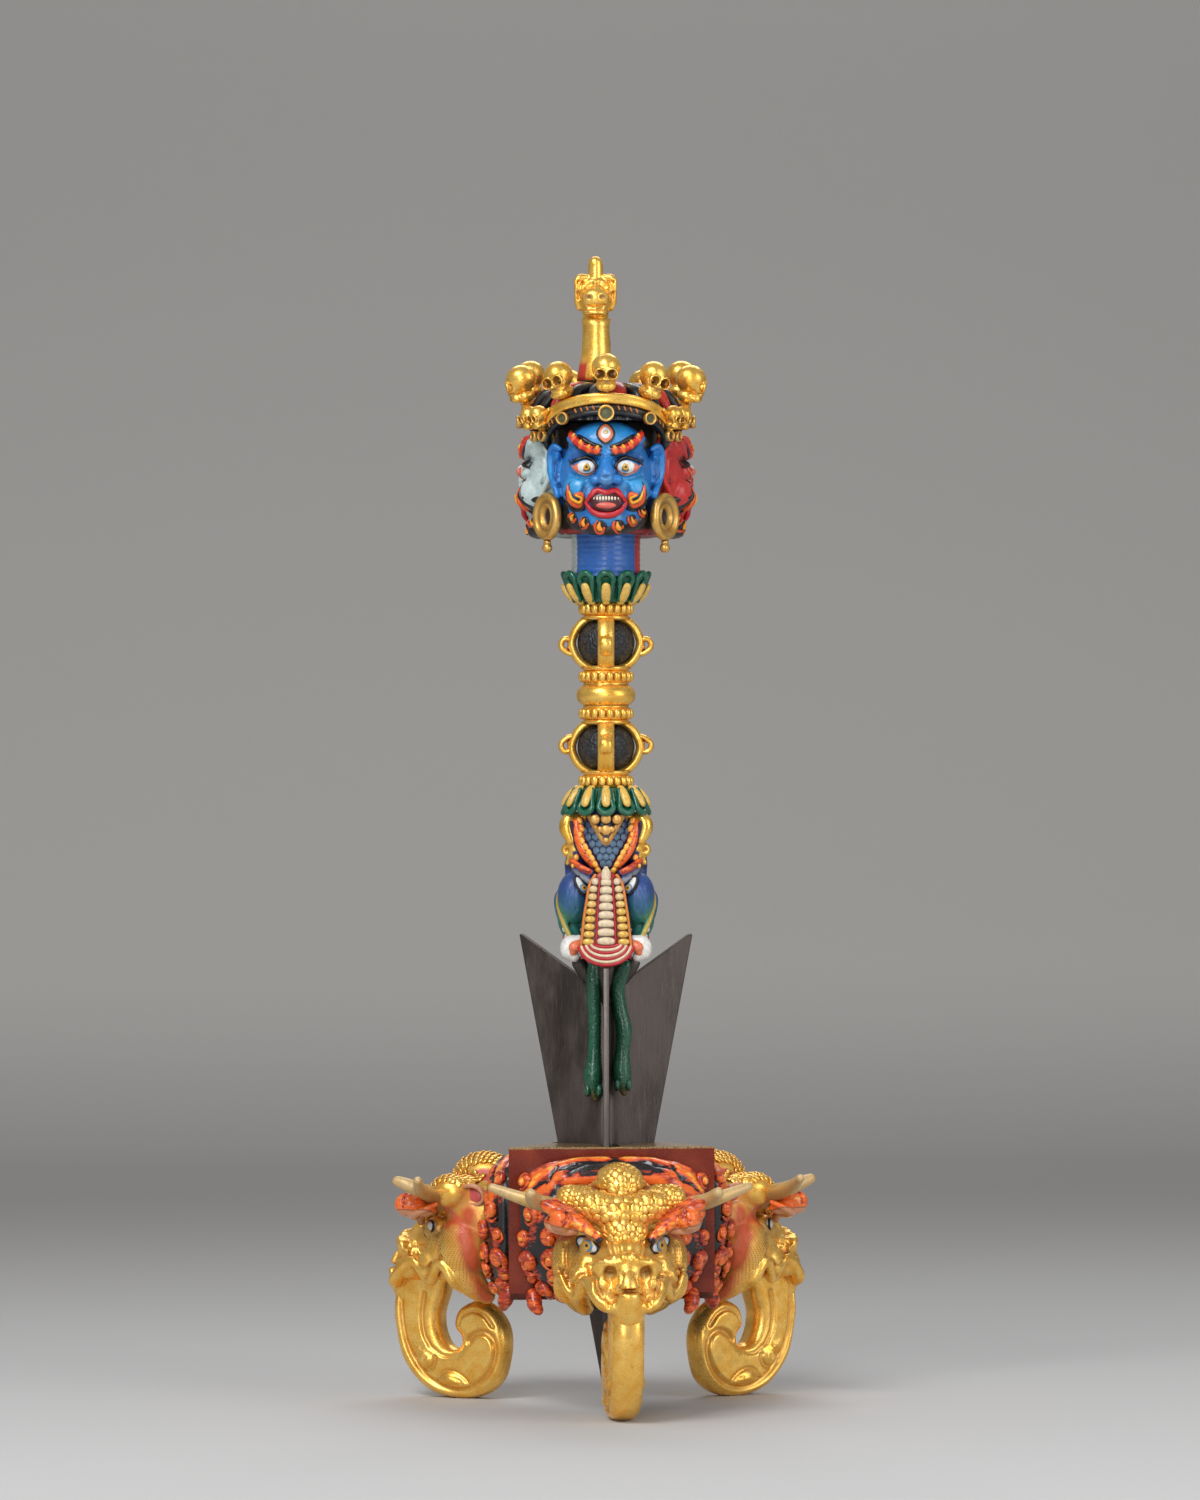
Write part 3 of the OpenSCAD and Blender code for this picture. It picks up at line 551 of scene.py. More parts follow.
def plate_metal(name, light, dark, rough):
    """Hammered and darkened plate."""
    s = Shader(name)
    cloud = s.noise(5, 5, 0.6)
    pits = s.noise(0.7, 4, 0.7)
    colour = s.mix(s.span(cloud, 0.35, 0.7), dark, light)
    colour = s.mix(s.span(pits, 0.58, 0.7, 0, 0.6), colour, dark)
    return s.finish(colour, s.span(pits, 0.3, 0.8, rough - 0.1, rough + 0.15), 0.8, s.bump(pits, 0.05))


def blade_iron():
    """Dark forged iron, brown with age, filed along the wings and bright where the edges are rubbed."""
    s = Shader("forged iron")
    cloud = s.noise(7, 5, 0.6, (1, 1, 0.45))
    file_marks = s.noise(0.45, 4, 0.6, (1, 1, 0.06))
    pits = s.noise(0.6, 4, 0.7)
    colour = s.mix(s.span(cloud, 0.3, 0.72), (0.050, 0.040, 0.036), (0.105, 0.084, 0.074))
    colour = s.mix(s.span(file_marks, 0.5, 0.75, 0, 0.45), colour, (0.15, 0.125, 0.112))
    colour = s.mix(s.span(pits, 0.6, 0.72, 0, 0.7), colour, (0.030, 0.021, 0.017))
    geometry = s.node("NewGeometry")
    rubbed = s.span(geometry.outputs["Pointiness"], 0.54, 0.66)
    colour = s.mix(s.math("MULTIPLY", rubbed, 0.5), colour, (0.30, 0.27, 0.25))
    shine = s.span(cloud, 0.3, 0.75, 0.36, 0.55)
    return s.finish(colour, shine, 0.72, s.bump(pits, 0.05, s.bump(file_marks, 0.05)))


def globe_black():
    """Rough black stone paste, glossy on its grains."""
    s = Shader("black globes")
    lumps = s.noise(1, 4, 0.65)
    grain = s.cells(0.75, feature="F1")
    colour = s.mix(s.span(lumps, 0.35, 0.75), (0.006, 0.006, 0.007), (0.035, 0.036, 0.042))
    return s.finish(colour, s.span(lumps, 0.3, 0.8, 0.22, 0.5), 0, s.bump(grain, 0.3, s.bump(lumps, 0.35)))


def paper():
    """Studio paper: pale in front, falling to grey behind, as in the photograph."""
    s = Shader("studio paper")
    # Painted light: the paper is one colour, and its fall from pale in front to grey behind, and the grey
    # of the wall darkening upwards, stand in for the fall of the light.
    _, y, z = s.parts(s.place)
    floor = s.mix(s.span(y, -0.30, 0.85), (0.60, 0.60, 0.60), (0.205, 0.200, 0.195))
    wall = s.mix(s.span(z, 0.14, 0.50), (0.335, 0.325, 0.312), (0.285, 0.275, 0.265))
    made = s.finish(s.mix(s.span(z, -0.02, 0.085), floor, wall), 0.8)
    # Seen from behind, the sheet lets the view through, so that the object's back can be looked at.
    out = next(node for node in s.tree.nodes if node.type == "OUTPUT_MATERIAL")
    pick = s.node("MixShader")
    s.link(s.node("NewGeometry").outputs["Backfacing"], pick.inputs[0])
    s.link(s.skin.outputs[0], pick.inputs[1])
    s.link(s.node("BsdfTransparent").outputs[0], pick.inputs[2])
    s.link(pick.outputs[0], out.inputs["Surface"])
    return made


GILT = gold_leaf("bright gilding", (1, 0.63, 0.14), (0.38, 0.105, 0.010), 0.3, 0.29)
WORN_GILT = gold_leaf("worn gilding", (0.80, 0.50, 0.15), (0.16, 0.055, 0.012), 0.65, 0.34, 1.6)
LOTUS = old_paint("lotus enamel", 0.26, (0.30, 0.20, 0.06), 0.3, (1, 1, 1), 0.05)
STAND_GILT = gold_leaf("stand gilding", (1, 0.62, 0.15), (0.40, 0.110, 0.010), 0.3, 0.29, 2.1)
MASK = gold_leaf("dagger head paint and gilding", (0.92, 0.58, 0.13), (0.30, 0.085, 0.012), 0.25, 0.24)
HORN = gold_leaf("horn gilding", (0.80, 0.58, 0.24), (0.16, 0.06, 0.02), 0.7, 0.34, 1.2)
IRON = blade_iron()
GLOBE = globe_black()
LACQUER = lacquer("stand lacquer")
PAINT = old_paint("dagger paint")
STAND_PAINT = old_paint("stand paint", 0.34, (0.012, 0.006, 0.005), 0.45, (1, 1, 0.45), 0.09)
PLATE_TOP = lacquer("top plate brass and lacquer", (0.46, 0.30, 0.13))
PLATE_LOW = plate_metal("bottom plate brown", (0.14, 0.045, 0.03), (0.05, 0.014, 0.01), 0.5)


def paint(red, green, blue, amount=1):
    """Colour as it is seen on the object, from 0 to 255, turned to light values."""
    def light(c):
        c /= 255
        return c / 12.92 if c <= 0.04045 else ((c + 0.055) / 1.055) ** 2.4
    return light(red), light(green), light(blue), amount


def flame_paint():
    """Black ground with brushed flames, red at their edges, then orange, and yellow where hottest."""
    s = Shader("flame painting")
    plain, hot = s.painted()
    brush = s.noise(1.3, 4, 0.65, (0.35, 0.6, 1.3))
    grit = s.noise(0.5, 2, 0.6)
    hot = s.math("ADD", hot, s.span(brush, 0.25, 0.75, -0.26, 0.26))
    colour = s.mix(s.span(hot, 0.28, 0.44), (0.008, 0.006, 0.007), (0.42, 0.035, 0.012))
    colour = s.mix(s.span(hot, 0.48, 0.72), colour, (0.86, 0.150, 0.020))
    colour = s.mix(s.span(hot, 0.88, 1.08), colour, (0.98, 0.46, 0.060))
    split = s.node("SeparateColor")
    s.link(plain, split.inputs[0])
    colour = s.mix(s.span(split.outputs[0], 0.05, 0.2), colour, plain)
    # Painted shade: the colours are darkened towards black in the hollows.
    colour = s.mix(s.span(s.crevice(1), 0.15, 0.75), s.mix(0.7, colour, (0.004, 0.003, 0.003)), colour)
    return s.finish(colour, s.span(grit, 0.3, 0.8, 0.24, 0.42), 0, s.bump(brush, 0.06), 0.3)


def heat(share):
    """Paint for flame painting: its amount says how hot the flame is."""
    return 0, 0, 0, share


FLAMES = flame_paint()
BLACK = paint(22, 19, 20)
ORANGE = paint(232, 96, 28)
RED = paint(200, 45, 32)
PINK = paint(208, 82, 78)
PEACH = paint(205, 140, 100)
EYE_WHITE = paint(225, 228, 224)
EYE_BLUE = paint(70, 140, 190)
EYE_GOLD = paint(200, 150, 40)
GREEN = paint(12, 96, 70)


# Dagger: blade and snakes

WING_HALF = 0.75


def make_blade():
    bm = new_piece()
    low, high = box_mm("blade")
    tip_z = low.z
    barb_z = bottom_of("dagger_makara_head") + 7.1
    notch_z = barb_z - 13.1
    barb_r, shaft_r = 26, 3.6
    outline = [
        (0, tip_z), (0.9, tip_z + 0.5), (barb_r, barb_z - 0.4), (barb_r - 0.4, barb_z),
        (barb_r - 1.2, barb_z - 0.4), (8.2, notch_z + 2.6), (6.2, notch_z + 0.7), (4.6, notch_z + 0.4),
        (3.4, notch_z + 2.4), (2.6, notch_z + 6), (0, notch_z + 6),
    ]
    front_z = bottom_of("dagger_makara_head") - 0.8
    front = list(outline)
    front[2:6] = [(24.3, front_z - 0.4), (23.9, front_z), (22.8, front_z - 0.2), (9, notch_z + 1.8)]
    for side, turn in SIDES.items():
        verts = [bm.verts.new((-WING_HALF, -r, z)) for r, z in (front if side == "front" else outline)]
        wing = bm.faces.new(verts)
        made = bmesh.ops.extrude_face_region(bm, geom=[wing])["geom"]
        moved_out = [item for item in made if isinstance(item, bmesh.types.BMVert)]
        bmesh.ops.translate(bm, vec=(2 * WING_HALF, 0, 0), verts=moved_out)
        corners = verts + moved_out
        bmesh.ops.recalc_face_normals(bm, faces=each_once(f for v in corners for f in v.link_faces))
        rim = []
        for edge in each_once(edge for v in corners for edge in v.link_edges):
            first, second = [vert.co for vert in edge.verts]
            if abs(first.x - second.x) < 0.01 and min(first.y, second.y) < -0.8:
                rim.append(edge)
        made = bmesh.ops.bevel(
            bm, geom=rim, offset=0.22, segments=2, profile=0.5, affect="EDGES", material=-1,
        )
        wing_verts = [v for v in corners if v.is_valid] + [v for face in made["faces"] for v in face.verts]
        moved(each_once(wing_verts), about_z(turn))
    coloured(bm, bm.verts, BLACK)
    mask_z = bottom_of("dagger_makara_head")
    lathe(bm, [
        (0, notch_z - 8), (1.6, notch_z - 3.5), (3, notch_z + 0.5), (shaft_r, notch_z + 3.5),
        (shaft_r, mask_z), (1.6, mask_z), (1.6, high.z), (0, high.z),
    ], 32, BLACK)
    for hand in (-1, 1):
        flare = [(3, 2, mask_z - 6, 1.6), (4.8, 1.4, mask_z - 3.6, 2), (7, 0.8, mask_z - 0.4, 2)]
        bar(bm, [(hand * x, y, z, r) for x, y, z, r in flare], 12, 16, UP, 1, BLACK)
    finished(bm, "blade_iron", "dagger", IRON, "blade")


def snake_skin():
    """Green scales with a gloss, dark along the belly."""
    s = Shader("snake scales")
    colour, _ = s.painted()
    scale = s.cells(0.95, (1, 1, 0.8))
    line = s.span(scale, 0.02, 0.14)
    cloud = s.noise(2.2, 4)
    base = s.mix(s.span(cloud, 0.3, 0.72), s.mix(0.45, colour, (0.003, 0.014, 0.008)), colour)
    base = s.mix(line, s.mix(0.25, colour, (0.001, 0.006, 0.004)), base)
    # Painted shade: the scales go nearly black in the hollows.
    base = s.mix(s.span(s.crevice(1.4), 0.3, 0.9), (0.004, 0.009, 0.006), base)
    return s.finish(base, s.span(cloud, 0.3, 0.8, 0.2, 0.42), 0, s.bump(s.span(scale, 0, 0.3), 0.07), 0.3)


def make_snake(name, side, knots, material):
    """A snake hanging beside a wing, head down; knots are x, y, z and radius."""
    bm = new_piece()
    green, belly = paint(22, 92, 66), paint(30, 34, 22)
    mouth = paint(92, 78, 40)
    body = bar(bm, knots, 16, 44, (0, 1, 0), 0.92)
    tip_z = knots[-1][2]

    def colour_at(co):
        shade = blend(green, belly, (abs(co.x) < 2.2) * (2.2 - abs(co.x)) / 1.2)
        return blend(shade, mouth, (tip_z + 2.6 - co.z) / 3)

    tinted(bm, body, colour_at)
    head = Vector(knots[-2][:3])
    for eye_side in (-1, 1):
        spot = head + Vector((eye_side * 1.55, -1.55, -1.4))
        ball(bm, spot, (0.42, 0.36, 0.5), detail=2, paint=paint(12, 14, 10))
        ball(bm, head + Vector((eye_side * 1.5, -1.3, -0.4)), (0.9, 0.8, 1.7), detail=2, paint=green)
    finished(bm, name + "_scaled", "dagger", material, name, DAGGER_TURN + side)


def make_snakes():
    skin = snake_skin()
    left = [
        (-3.3, -2.3, 115, 1.5), (-3.3, -1.9, 110, 1.95), (-3.15, -1.7, 103, 1.75), (-3.05, -1.6, 97, 1.6),
        (-3.2, -1.6, 91, 1.75), (-3.5, -1.9, 85.8, 2.45), (-3.3, -1.8, 82.6, 1.9), (-2.7, -1.7, 80, 0.8),
    ]
    right = [
        (5.1, -3.4, 115, 1.5), (3.9, -2.5, 112, 1.8), (3, -1.9, 108.5, 1.85), (3.7, -1.9, 103, 1.9),
        (4.7, -2.1, 98, 2.05), (4.3, -2, 92.5, 1.9), (4, -2.1, 87.5, 2.5), (4.4, -2.2, 84.2, 2.2),
        (4.7, -2.2, 81.8, 1),
    ]
    make_snake("snake_left", 0, left, skin)
    make_snake("snake_right", 0, right, skin)
    make_snake("snake_rear", 120, right, skin)


# Dagger: turned, beaded and pronged parts of the grip

RING_BEADS = 20
BORE = 1.9


def make_bead_ring(node):
    low, high = box_mm(node)
    h = high.z - low.z
    r, mid = high.x, (low.z + high.z) / 2
    bm = new_piece()
    lathe(bm, [
        (BORE, low.z), (r - 1.5, low.z), (r - 1.15, low.z + 0.12 * h), (r - 1.3, mid),
        (r - 1.15, high.z - 0.12 * h), (r - 1.5, high.z), (BORE, high.z), (BORE, low.z),
    ], 40)
    for k in range(RING_BEADS):
        turn = about_z(360 * (k + 0.5) / RING_BEADS)
        size = (math.pi * (r - 0.9) / RING_BEADS * 1.02, 1, 0.5 * h * (0.96 + 0.03 * math.sin(5 * k)))
        made = ball(bm, (0, -(r - 1), mid), size, detail=2)
        moved(made, turn)
    finished(bm, node + "_beaded", "dagger", GILT, node)


def make_knob():
    low, high = box_mm("knob")
    h, r, mid = high.z - low.z, high.x, (low.z + high.z) / 2
    profile = [(BORE, low.z), (r - 1.9, low.z), (r - 1.75, low.z + 0.35), (r - 2, low.z + 0.7)]
    for k in range(1, 12):
        angle = math.radians(-75 + 150 * k / 12)
        profile.append((r - 3.35 + 3.35 * math.cos(angle), mid + 0.5 * h * 0.9 * math.sin(angle)))
    profile += [
        (r - 2, high.z - 0.7), (r - 1.75, high.z - 0.35), (r - 1.9, high.z), (BORE, high.z), (BORE, low.z),
    ]
    bm = new_piece()
    lathe(bm, profile, 64)
    finished(bm, "knob_burnished", "dagger", GILT, "knob")


CURL_R = 0.78


def make_cage(node, flip):
    """Four broad prongs, each with a scroll curled on its back; flip is -1 for curls that turn up."""
    low, high = box_mm(node)
    mid, half_h = (low.z + high.z) / 2, (high.z - low.z) / 2
    bm = new_piece()
    for turn in (0, 90, 180, 270):
        prong = []
        for k in range(9):
            angle = math.radians(-78 + 156 * k / 8)
            reach = 9 - 0.35 * abs(math.sin(2 * angle))
            prong.append((0, -reach * math.cos(angle) ** 0.8, half_h * 0.97 * math.sin(angle), 2.15))
        curl = [(0, -8.6, -flip * 2.9, CURL_R), (0, -9.9, -flip * 2.6, CURL_R)]
        for k in range(9):
            angle = math.radians(-70 + 300 * k / 8)
            r = 1.85 - 0.1 * k
            curl.append((0, -10.15 - r * math.cos(angle), flip * r * math.sin(angle) - 0.3 * flip, CURL_R))
        made = bar(bm, prong, 14, 26, (0, 1, 0.001), 0.55)
        for vert in made:
            vert.co.x *= 1.02
        scroll = bar(bm, curl, 10, 34, (1, 0, 0), 2.2)
        moved(made + scroll, about_z(turn))
    for end in (-1, 1):
        z = end * (half_h - 0.7)
        lathe(bm, [
            (BORE, z - 0.7), (5.6, z - 0.7), (6.6, z), (5.6, z + 0.7), (BORE, z + 0.7), (BORE, z - 0.7),
        ], 40)
    finished(bm, node + "_prongs", "dagger", GILT, node, lift=mid)


def make_globe(node):
    low, high = box_mm(node)
    mid = (low.z + high.z) / 2
    bm = new_piece()
    made = ball(bm, (0, 0, 0), (7.5, 7.5, 6.6), detail=5, paint=BLACK)
    rng = np.random.default_rng(7)
    waves = rng.normal(size=(24, 3)) * 2.6
    shifts = rng.uniform(0, 6.28, 24)
    for vert in made:
        way = np.array(vert.co)
        swell = np.sin(waves @ way + shifts).sum() / 24
        vert.co *= 1 + 0.03 * swell
    finished(bm, node + "_rough", "dagger", GLOBE, node, lift=mid)


def make_lotus(node, way):
    """Twelve petals with rolled rims and as many gold stamens; way is 1 for petals that open upwards."""
    low, high = box_mm(node)
    h = high.z - low.z
    bm = new_piece()
    spread = 11.1
    lathe(bm, [
        (BORE, 0), (7, 0), (7.6, 0.8), (8.3, 2.6), (9.2, 4.6), (9.6, h * 0.74), (8.6, h * 0.8),
        (7.4, h * 0.9), (BORE, h * 0.96), (BORE, 0),
    ], 48, GREEN)
    for k in range(12):
        edge = []
        for step in range(17):
            angle = math.pi * (step / 16)
            side = math.cos(angle)
            rise = math.sin(angle) ** 0.75
            tall = h * (0.05 + 0.94 * rise)
            out = 7.6 + (spread - 7.6) * (0.15 + 0.85 * rise) ** 0.85
            wide = 3.05 * (
                1 if abs(side) < 0.7 else 1 - 0.5 * (abs(side) - 0.7) / 0.3
            ) * (0.55 + 0.45 * rise)
            edge.append((wide * side * (1.06 - 0.06 * rise), -out, tall, 0.5 + 0.38 * rise))
        made = bar(bm, edge, 8, 34, (0, 1, 0.3), 1, GREEN)

        def petal(u, v):
            side = 2 * u - 1
            tall = h * (0.02 + 0.83 * v)
            out = 7.3 + (spread - 7.55) * v ** 0.9 - 0.5 * (1 - side * side) * v
            wide = (1.9 + 0.75 * v) * math.sqrt(max(1 - 0.9 * max(v - 0.62, 0) / 0.38, 0.05))
            return wide * side, -out, tall
        made += surface(bm, 8, 8, petal, GREEN)
        sepal = [(0, -7.8, 0.2, 1.15), (0, -9.2, 1.3, 1.2), (0, -10.2, 2.6, 1.25), (0, -10.9, 3.9, 1.15)]
        made += bar(bm, sepal, 10, 10, (0, 1, 0), 0.7, GOLD)
        moved(made, about_z(30 * k))
    if way < 0:
        bmesh.ops.scale(bm, vec=(1, 1, -1), verts=bm.verts)
    base = low.z if way > 0 else high.z
    finished(bm, node + "_petals", "dagger", LOTUS, node, lift=base)


def make_neck():
    low, high = box_mm("neck")
    h = high.z - low.z
    bm = new_piece()
    blue, white, red = paint(44, 104, 186), paint(196, 210, 208), paint(200, 44, 40)

    def place(u, v):
        angle = 2 * math.pi * u
        bulge = 0.35 * math.cos(3 * angle)
        fold = 0.06 * math.sin(2 * math.pi * (v * 8 + 0.1 * math.cos(angle)))
        flare = 0.25 * (2 * v - 1) ** 4
        r = 8.9 + bulge + fold + flare
        return polar(r, angle, low.z - 0.9 + (h + 0.9) * v)

    def colour_at(co):
        bearing = math.degrees(math.atan2(co.x, -co.y))
        share = abs(bearing) / 60 - 1
        other = red if bearing > 0 else white
        if abs(bearing) > 178:
            other = blend(red, white, 0.5)
        return blend(blue, other, share * 40)

    tinted(bm, surface(bm, 96, 44, place), colour_at)
    for z in (low.z, high.z):
        lathe(bm, [(0, z), (9.3, z)], 48, BLACK)
    finished(bm, "neck_folds", "dagger", PAINT, "neck")


# Stand: legs, horns and ears

LEG_OUTLINE = [
    (31.4, 33.6), (33, 28.6), (33.9, 22.9), (33.2, 17.4), (31.7, 11), (28.2, 5.6), (23.3, 1.7), (17.3, 0),
    (11.4, 0), (6.2, 1.7), (2.6, 5.2), (1.1, 10.1), (0.5, 14.7), (1.1, 19), (2.9, 22.2), (5.4, 24.6),
    (8.6, 26), (11.6, 25.4), (14.6, 23.6), (16.4, 20.6), (15.8, 18.4), (14, 16.4), (14.1, 13.9), (16, 13.2),
    (18.2, 14.2), (19.9, 17.9), (20.2, 22), (19.2, 25.4), (18.2, 28.6), (17, 33.6),
]
HEAD_BACK = 27
LEG_HALF = 4.35


def in_plane(points, side, out=LEG_HALF):
    """Points given as distance from the axis and height, put on one side of the middle plane."""
    return [(side * out, -r, z) for r, z in points]


def leg_clay():
    bm = new_piece()
    outline = smooth_path([(r + HEAD_BACK, z) for r, z in LEG_OUTLINE], 110)
    face = bm.faces.new([bm.verts.new((-LEG_HALF, -r, z)) for r, z in outline])
    made = bmesh.ops.extrude_face_region(bm, geom=[face])["geom"]
    bmesh.ops.translate(
        bm, vec=(2 * LEG_HALF, 0, 0), verts=[v for v in made if isinstance(v, bmesh.types.BMVert)],
    )
    bmesh.ops.triangulate(bm, faces=bm.faces)
    ball(bm, (0, -35.6, 21), (LEG_HALF + 0.1, 5.2, 4.6))
    for side in (-1, 1):
        ball(bm, (side * 3.2, -50.6, 10.2), (2.1, 2.5, 2.4))
        bar(bm, [
            (side * 3.5, -51.4, 12.3, 1.3), (side * 3.6, -53.6, 13.4, 1.1), (side * 3.5, -55.9, 16, 0.8),
        ])
        bar(bm, [(side * 3.4, -46.8, 4.9, 1), (side * 3.7, -43.2, 5, 1.7), (side * 3.4, -38.6, 4.4, 0.8)])
    block = Clay(bm, 0.42, 3)
    for first, last, soft in ((0, 20, 3.4), (19, len(LEG_OUTLINE), 3.3)):
        edge = smooth_path([(0, -(r + HEAD_BACK), z) for r, z in LEG_OUTLINE[first:last]], 60)
        flat = block.co.copy()
        block.co[:, 0] = 0
        index, gap = block.near(edge, soft)
        block.co[:] = flat
        block.co[index, 0] *= 1 - (soft - np.sqrt(soft ** 2 - (soft - gap) ** 2)) / LEG_HALF
    clay = Clay(block.onto(new_piece()), 0.36, 8)
    rim = [
        (58.1, 27), (57.6, 20.4), (56.4, 14.8), (53.4, 9), (49.6, 5), (44, 2.3), (38.6, 2.5), (33.6, 5.4),
        (30.9, 9.6), (30.1, 13.4), (31.2, 16.4), (33.6, 17.8), (36.4, 17), (38.2, 15.2),
    ]
    inner = [(50.9, 27.6), (51.6, 22), (51, 17), (49.2, 13.6)]
    lip = [(40.6, 14.6), (42.6, 12), (45.6, 11.4), (48.6, 13.2)]
    curl = [(31, 19.4), (33.4, 22.2), (36.8, 23.4), (40.2, 22), (41.4, 19.6)]
    for side in (-1, 1):
        for line, count, wide, deep in (
            (rim, 60, 1.25, 1.1), (inner, 24, 0.9, 0.8), (lip, 14, 0.8, 0.6), (curl, 20, 0.9, 0.8),
        ):
            path = in_plane(smooth_path(line, count), side)
            clay.press(path, wide, -deep)
            # Painted shade: each pressed groove is painted dark red-brown.
            clay.draw(path, 0.95 * wide, (0.22, 0.055, 0.006, 0.75), 0.95, 0.8)
        clay.press(in_plane([(50.8, 10), (50.4, 10.6)], side, 5.2), 0.8, -0.35)
        ring = [(50.6 + 2.9 * math.cos(a), 10.2 + 2.9 * math.sin(a)) for a in np.linspace(-3.4, 1.2, 16)]
        clay.press(in_plane(ring, side, 4), 0.85, -0.8)
        leaf = [(47.6, 4.2), (45.2, 6.9), (42.4, 7.3), (39.6, 6), (37.8, 4.2)]
        clay.press(in_plane(smooth_path(leaf, 18), side, 4), 0.8, -0.75)
        clay.press(in_plane([(46, 5.4), (43, 5.6), (40, 4.8)], side, 4.8), 0.5, -0.25)
    dark = (0.05, 0.035, 0.012, 0.75)
    green = (0.045, 0.05, 0.012, 0.7)
    clay.draw([(0, -60.3, 27.5), (0, -60.6, 23)], 1.5, green, 0.75, 0.6)
    for r, z, size in (
        (39, 9.6, 1.6), (42.5, 8.9, 1.3), (50.2, 21.4, 1.3), (53, 15.4, 1.2), (30.4, 17.5, 1.7),
        (29.2, 12.6, 1.8), (33.5, 10.4, 2), (35.4, 12.4, 1.4), (31.6, 20.6, 1.4),
    ):
        for side in (-1, 1):
            clay.draw(in_plane([(r, z)], side), size, dark, 0.5, 0.8)
    clay.draw([(-4.4, -27.9, 16.8)], 1, (0.005, 0.004, 0.004, 1), 1, 0.3)
    return clay


def make_legs():
    clay = leg_clay()
    for side, turn in SIDES.items():
        node = "trunk_leg_" + side
        bm = clay.onto(new_piece())
        for vert in bm.verts:
            vert.co.z = max(vert.co.z, 0)
        finished(bm, node + "_curled", "stand", STAND_GILT, node, turn)


def make_horns():
    cream, bone = paint(222, 180, 104, 0.6), paint(208, 176, 128, 0.75)
    brown = paint(120, 62, 22, 0.6)
    for side, turn in SIDES.items():
        bm = new_piece()
        for hand in (-1, 1):
            root = (42, 12.4, 52.4, 2.5)
            main = [
                root, (42, 15.4, 54, 2.3), (42.5, 19.4, 55.2, 2.2), (42.2, 23.6, 56.2, 1.85),
                (40.6, 28.4, 57.7, 1.5), (38.8, 33, 59.3, 1.15),
            ]
            tine = [
                (42.4, 20.4, 55.6, 1.9), (44, 22.4, 56.4, 1.9), (46.8, 23.6, 57.6, 1.75),
                (49, 24, 58.4, 1.4),
            ]
            for knots in (main, tine):
                made = bar(bm, [(hand * t, -r, z, size) for r, t, z, size in knots], 14, 26)
                end = Vector((hand * knots[-1][1], -knots[-1][0], knots[-1][2]))

                def colour_at(co):
                    near_end = 1 - (co - end).length / 12
                    shade = blend(cream, bone, near_end * 1.6)
                    return blend(brown, shade, 0.25 + near_end + (co.z - 53) / 9)
                tinted(bm, made, colour_at)
        finished(bm, "horns_" + side + "_forked", "stand", HORN, "horns_" + side, turn)


def make_ears():
    for side, turn in SIDES.items():
        bm = new_piece()
        for hand in (-1, 1):
            spot = Vector((hand * 12, -32.6, 54.6))
            rim = []
            for k in range(15):
                angle = math.radians(-150 + 320 * k / 14)
                rim.append((
                    spot.x + hand * (1.9 + 0.5 * math.sin(angle)), spot.y + 3.3 * math.cos(angle) + 0.4,
                    spot.z + 2.5 * math.sin(angle) - 0.3 * math.cos(angle), 0.62,
                ))
            bar(bm, rim, 8, 40, (1, 0, 0), 1, PEACH)

            def cup(u, v):
                angle = 2 * math.pi * u
                return (
                    spot.x + hand * (2 * v * v + 0.5 * v * math.sin(angle)),
                    spot.y + 3.3 * v * math.cos(angle) + 0.4, spot.z + 2.5 * v * math.sin(angle),
                )
            made = surface(bm, 20, 6, cup)
            tinted(bm, made, lambda co: blend(paint(150, 48, 38), PINK, (abs(co.x) - 12) / 2))
            ball(bm, spot + Vector((hand * 0.3, 0.2, -0.2)), (1.6, 3.5, 2.8), paint=PINK)
        finished(bm, "ears_" + side + "_cupped", "stand", STAND_PAINT, "ears_" + side, turn)


# Stand: heads of the three makaras

def scaled_rows(bm, clay, spine, rows, wide, size):
    """Overlapping scales on a ridge, free ends up; wide and size go from the first row to the last."""
    spots = smooth_path(spine, rows)
    for i, spot in enumerate(spots):
        share = i / (rows - 1)
        half = np.interp(share, *zip(*wide))
        width = np.interp(share, *zip(*size))
        rise = Vector(spots[min(i + 1, rows - 1)]) - Vector(spots[max(i - 1, 0)])
        count = max(int(round(2 * half / width)), 1)
        for k in range(count + i % 2):
            x = (k - (count + i % 2 - 1) / 2) * width
            at, normal = clay.facing((x, spot[1], spot[2]))
            turn = standing(normal, rise.cross(normal)) @ about("X", 22)
            plate(bm, at + normal * 0.1, turn, 0.58 * width, 0.62 * width)


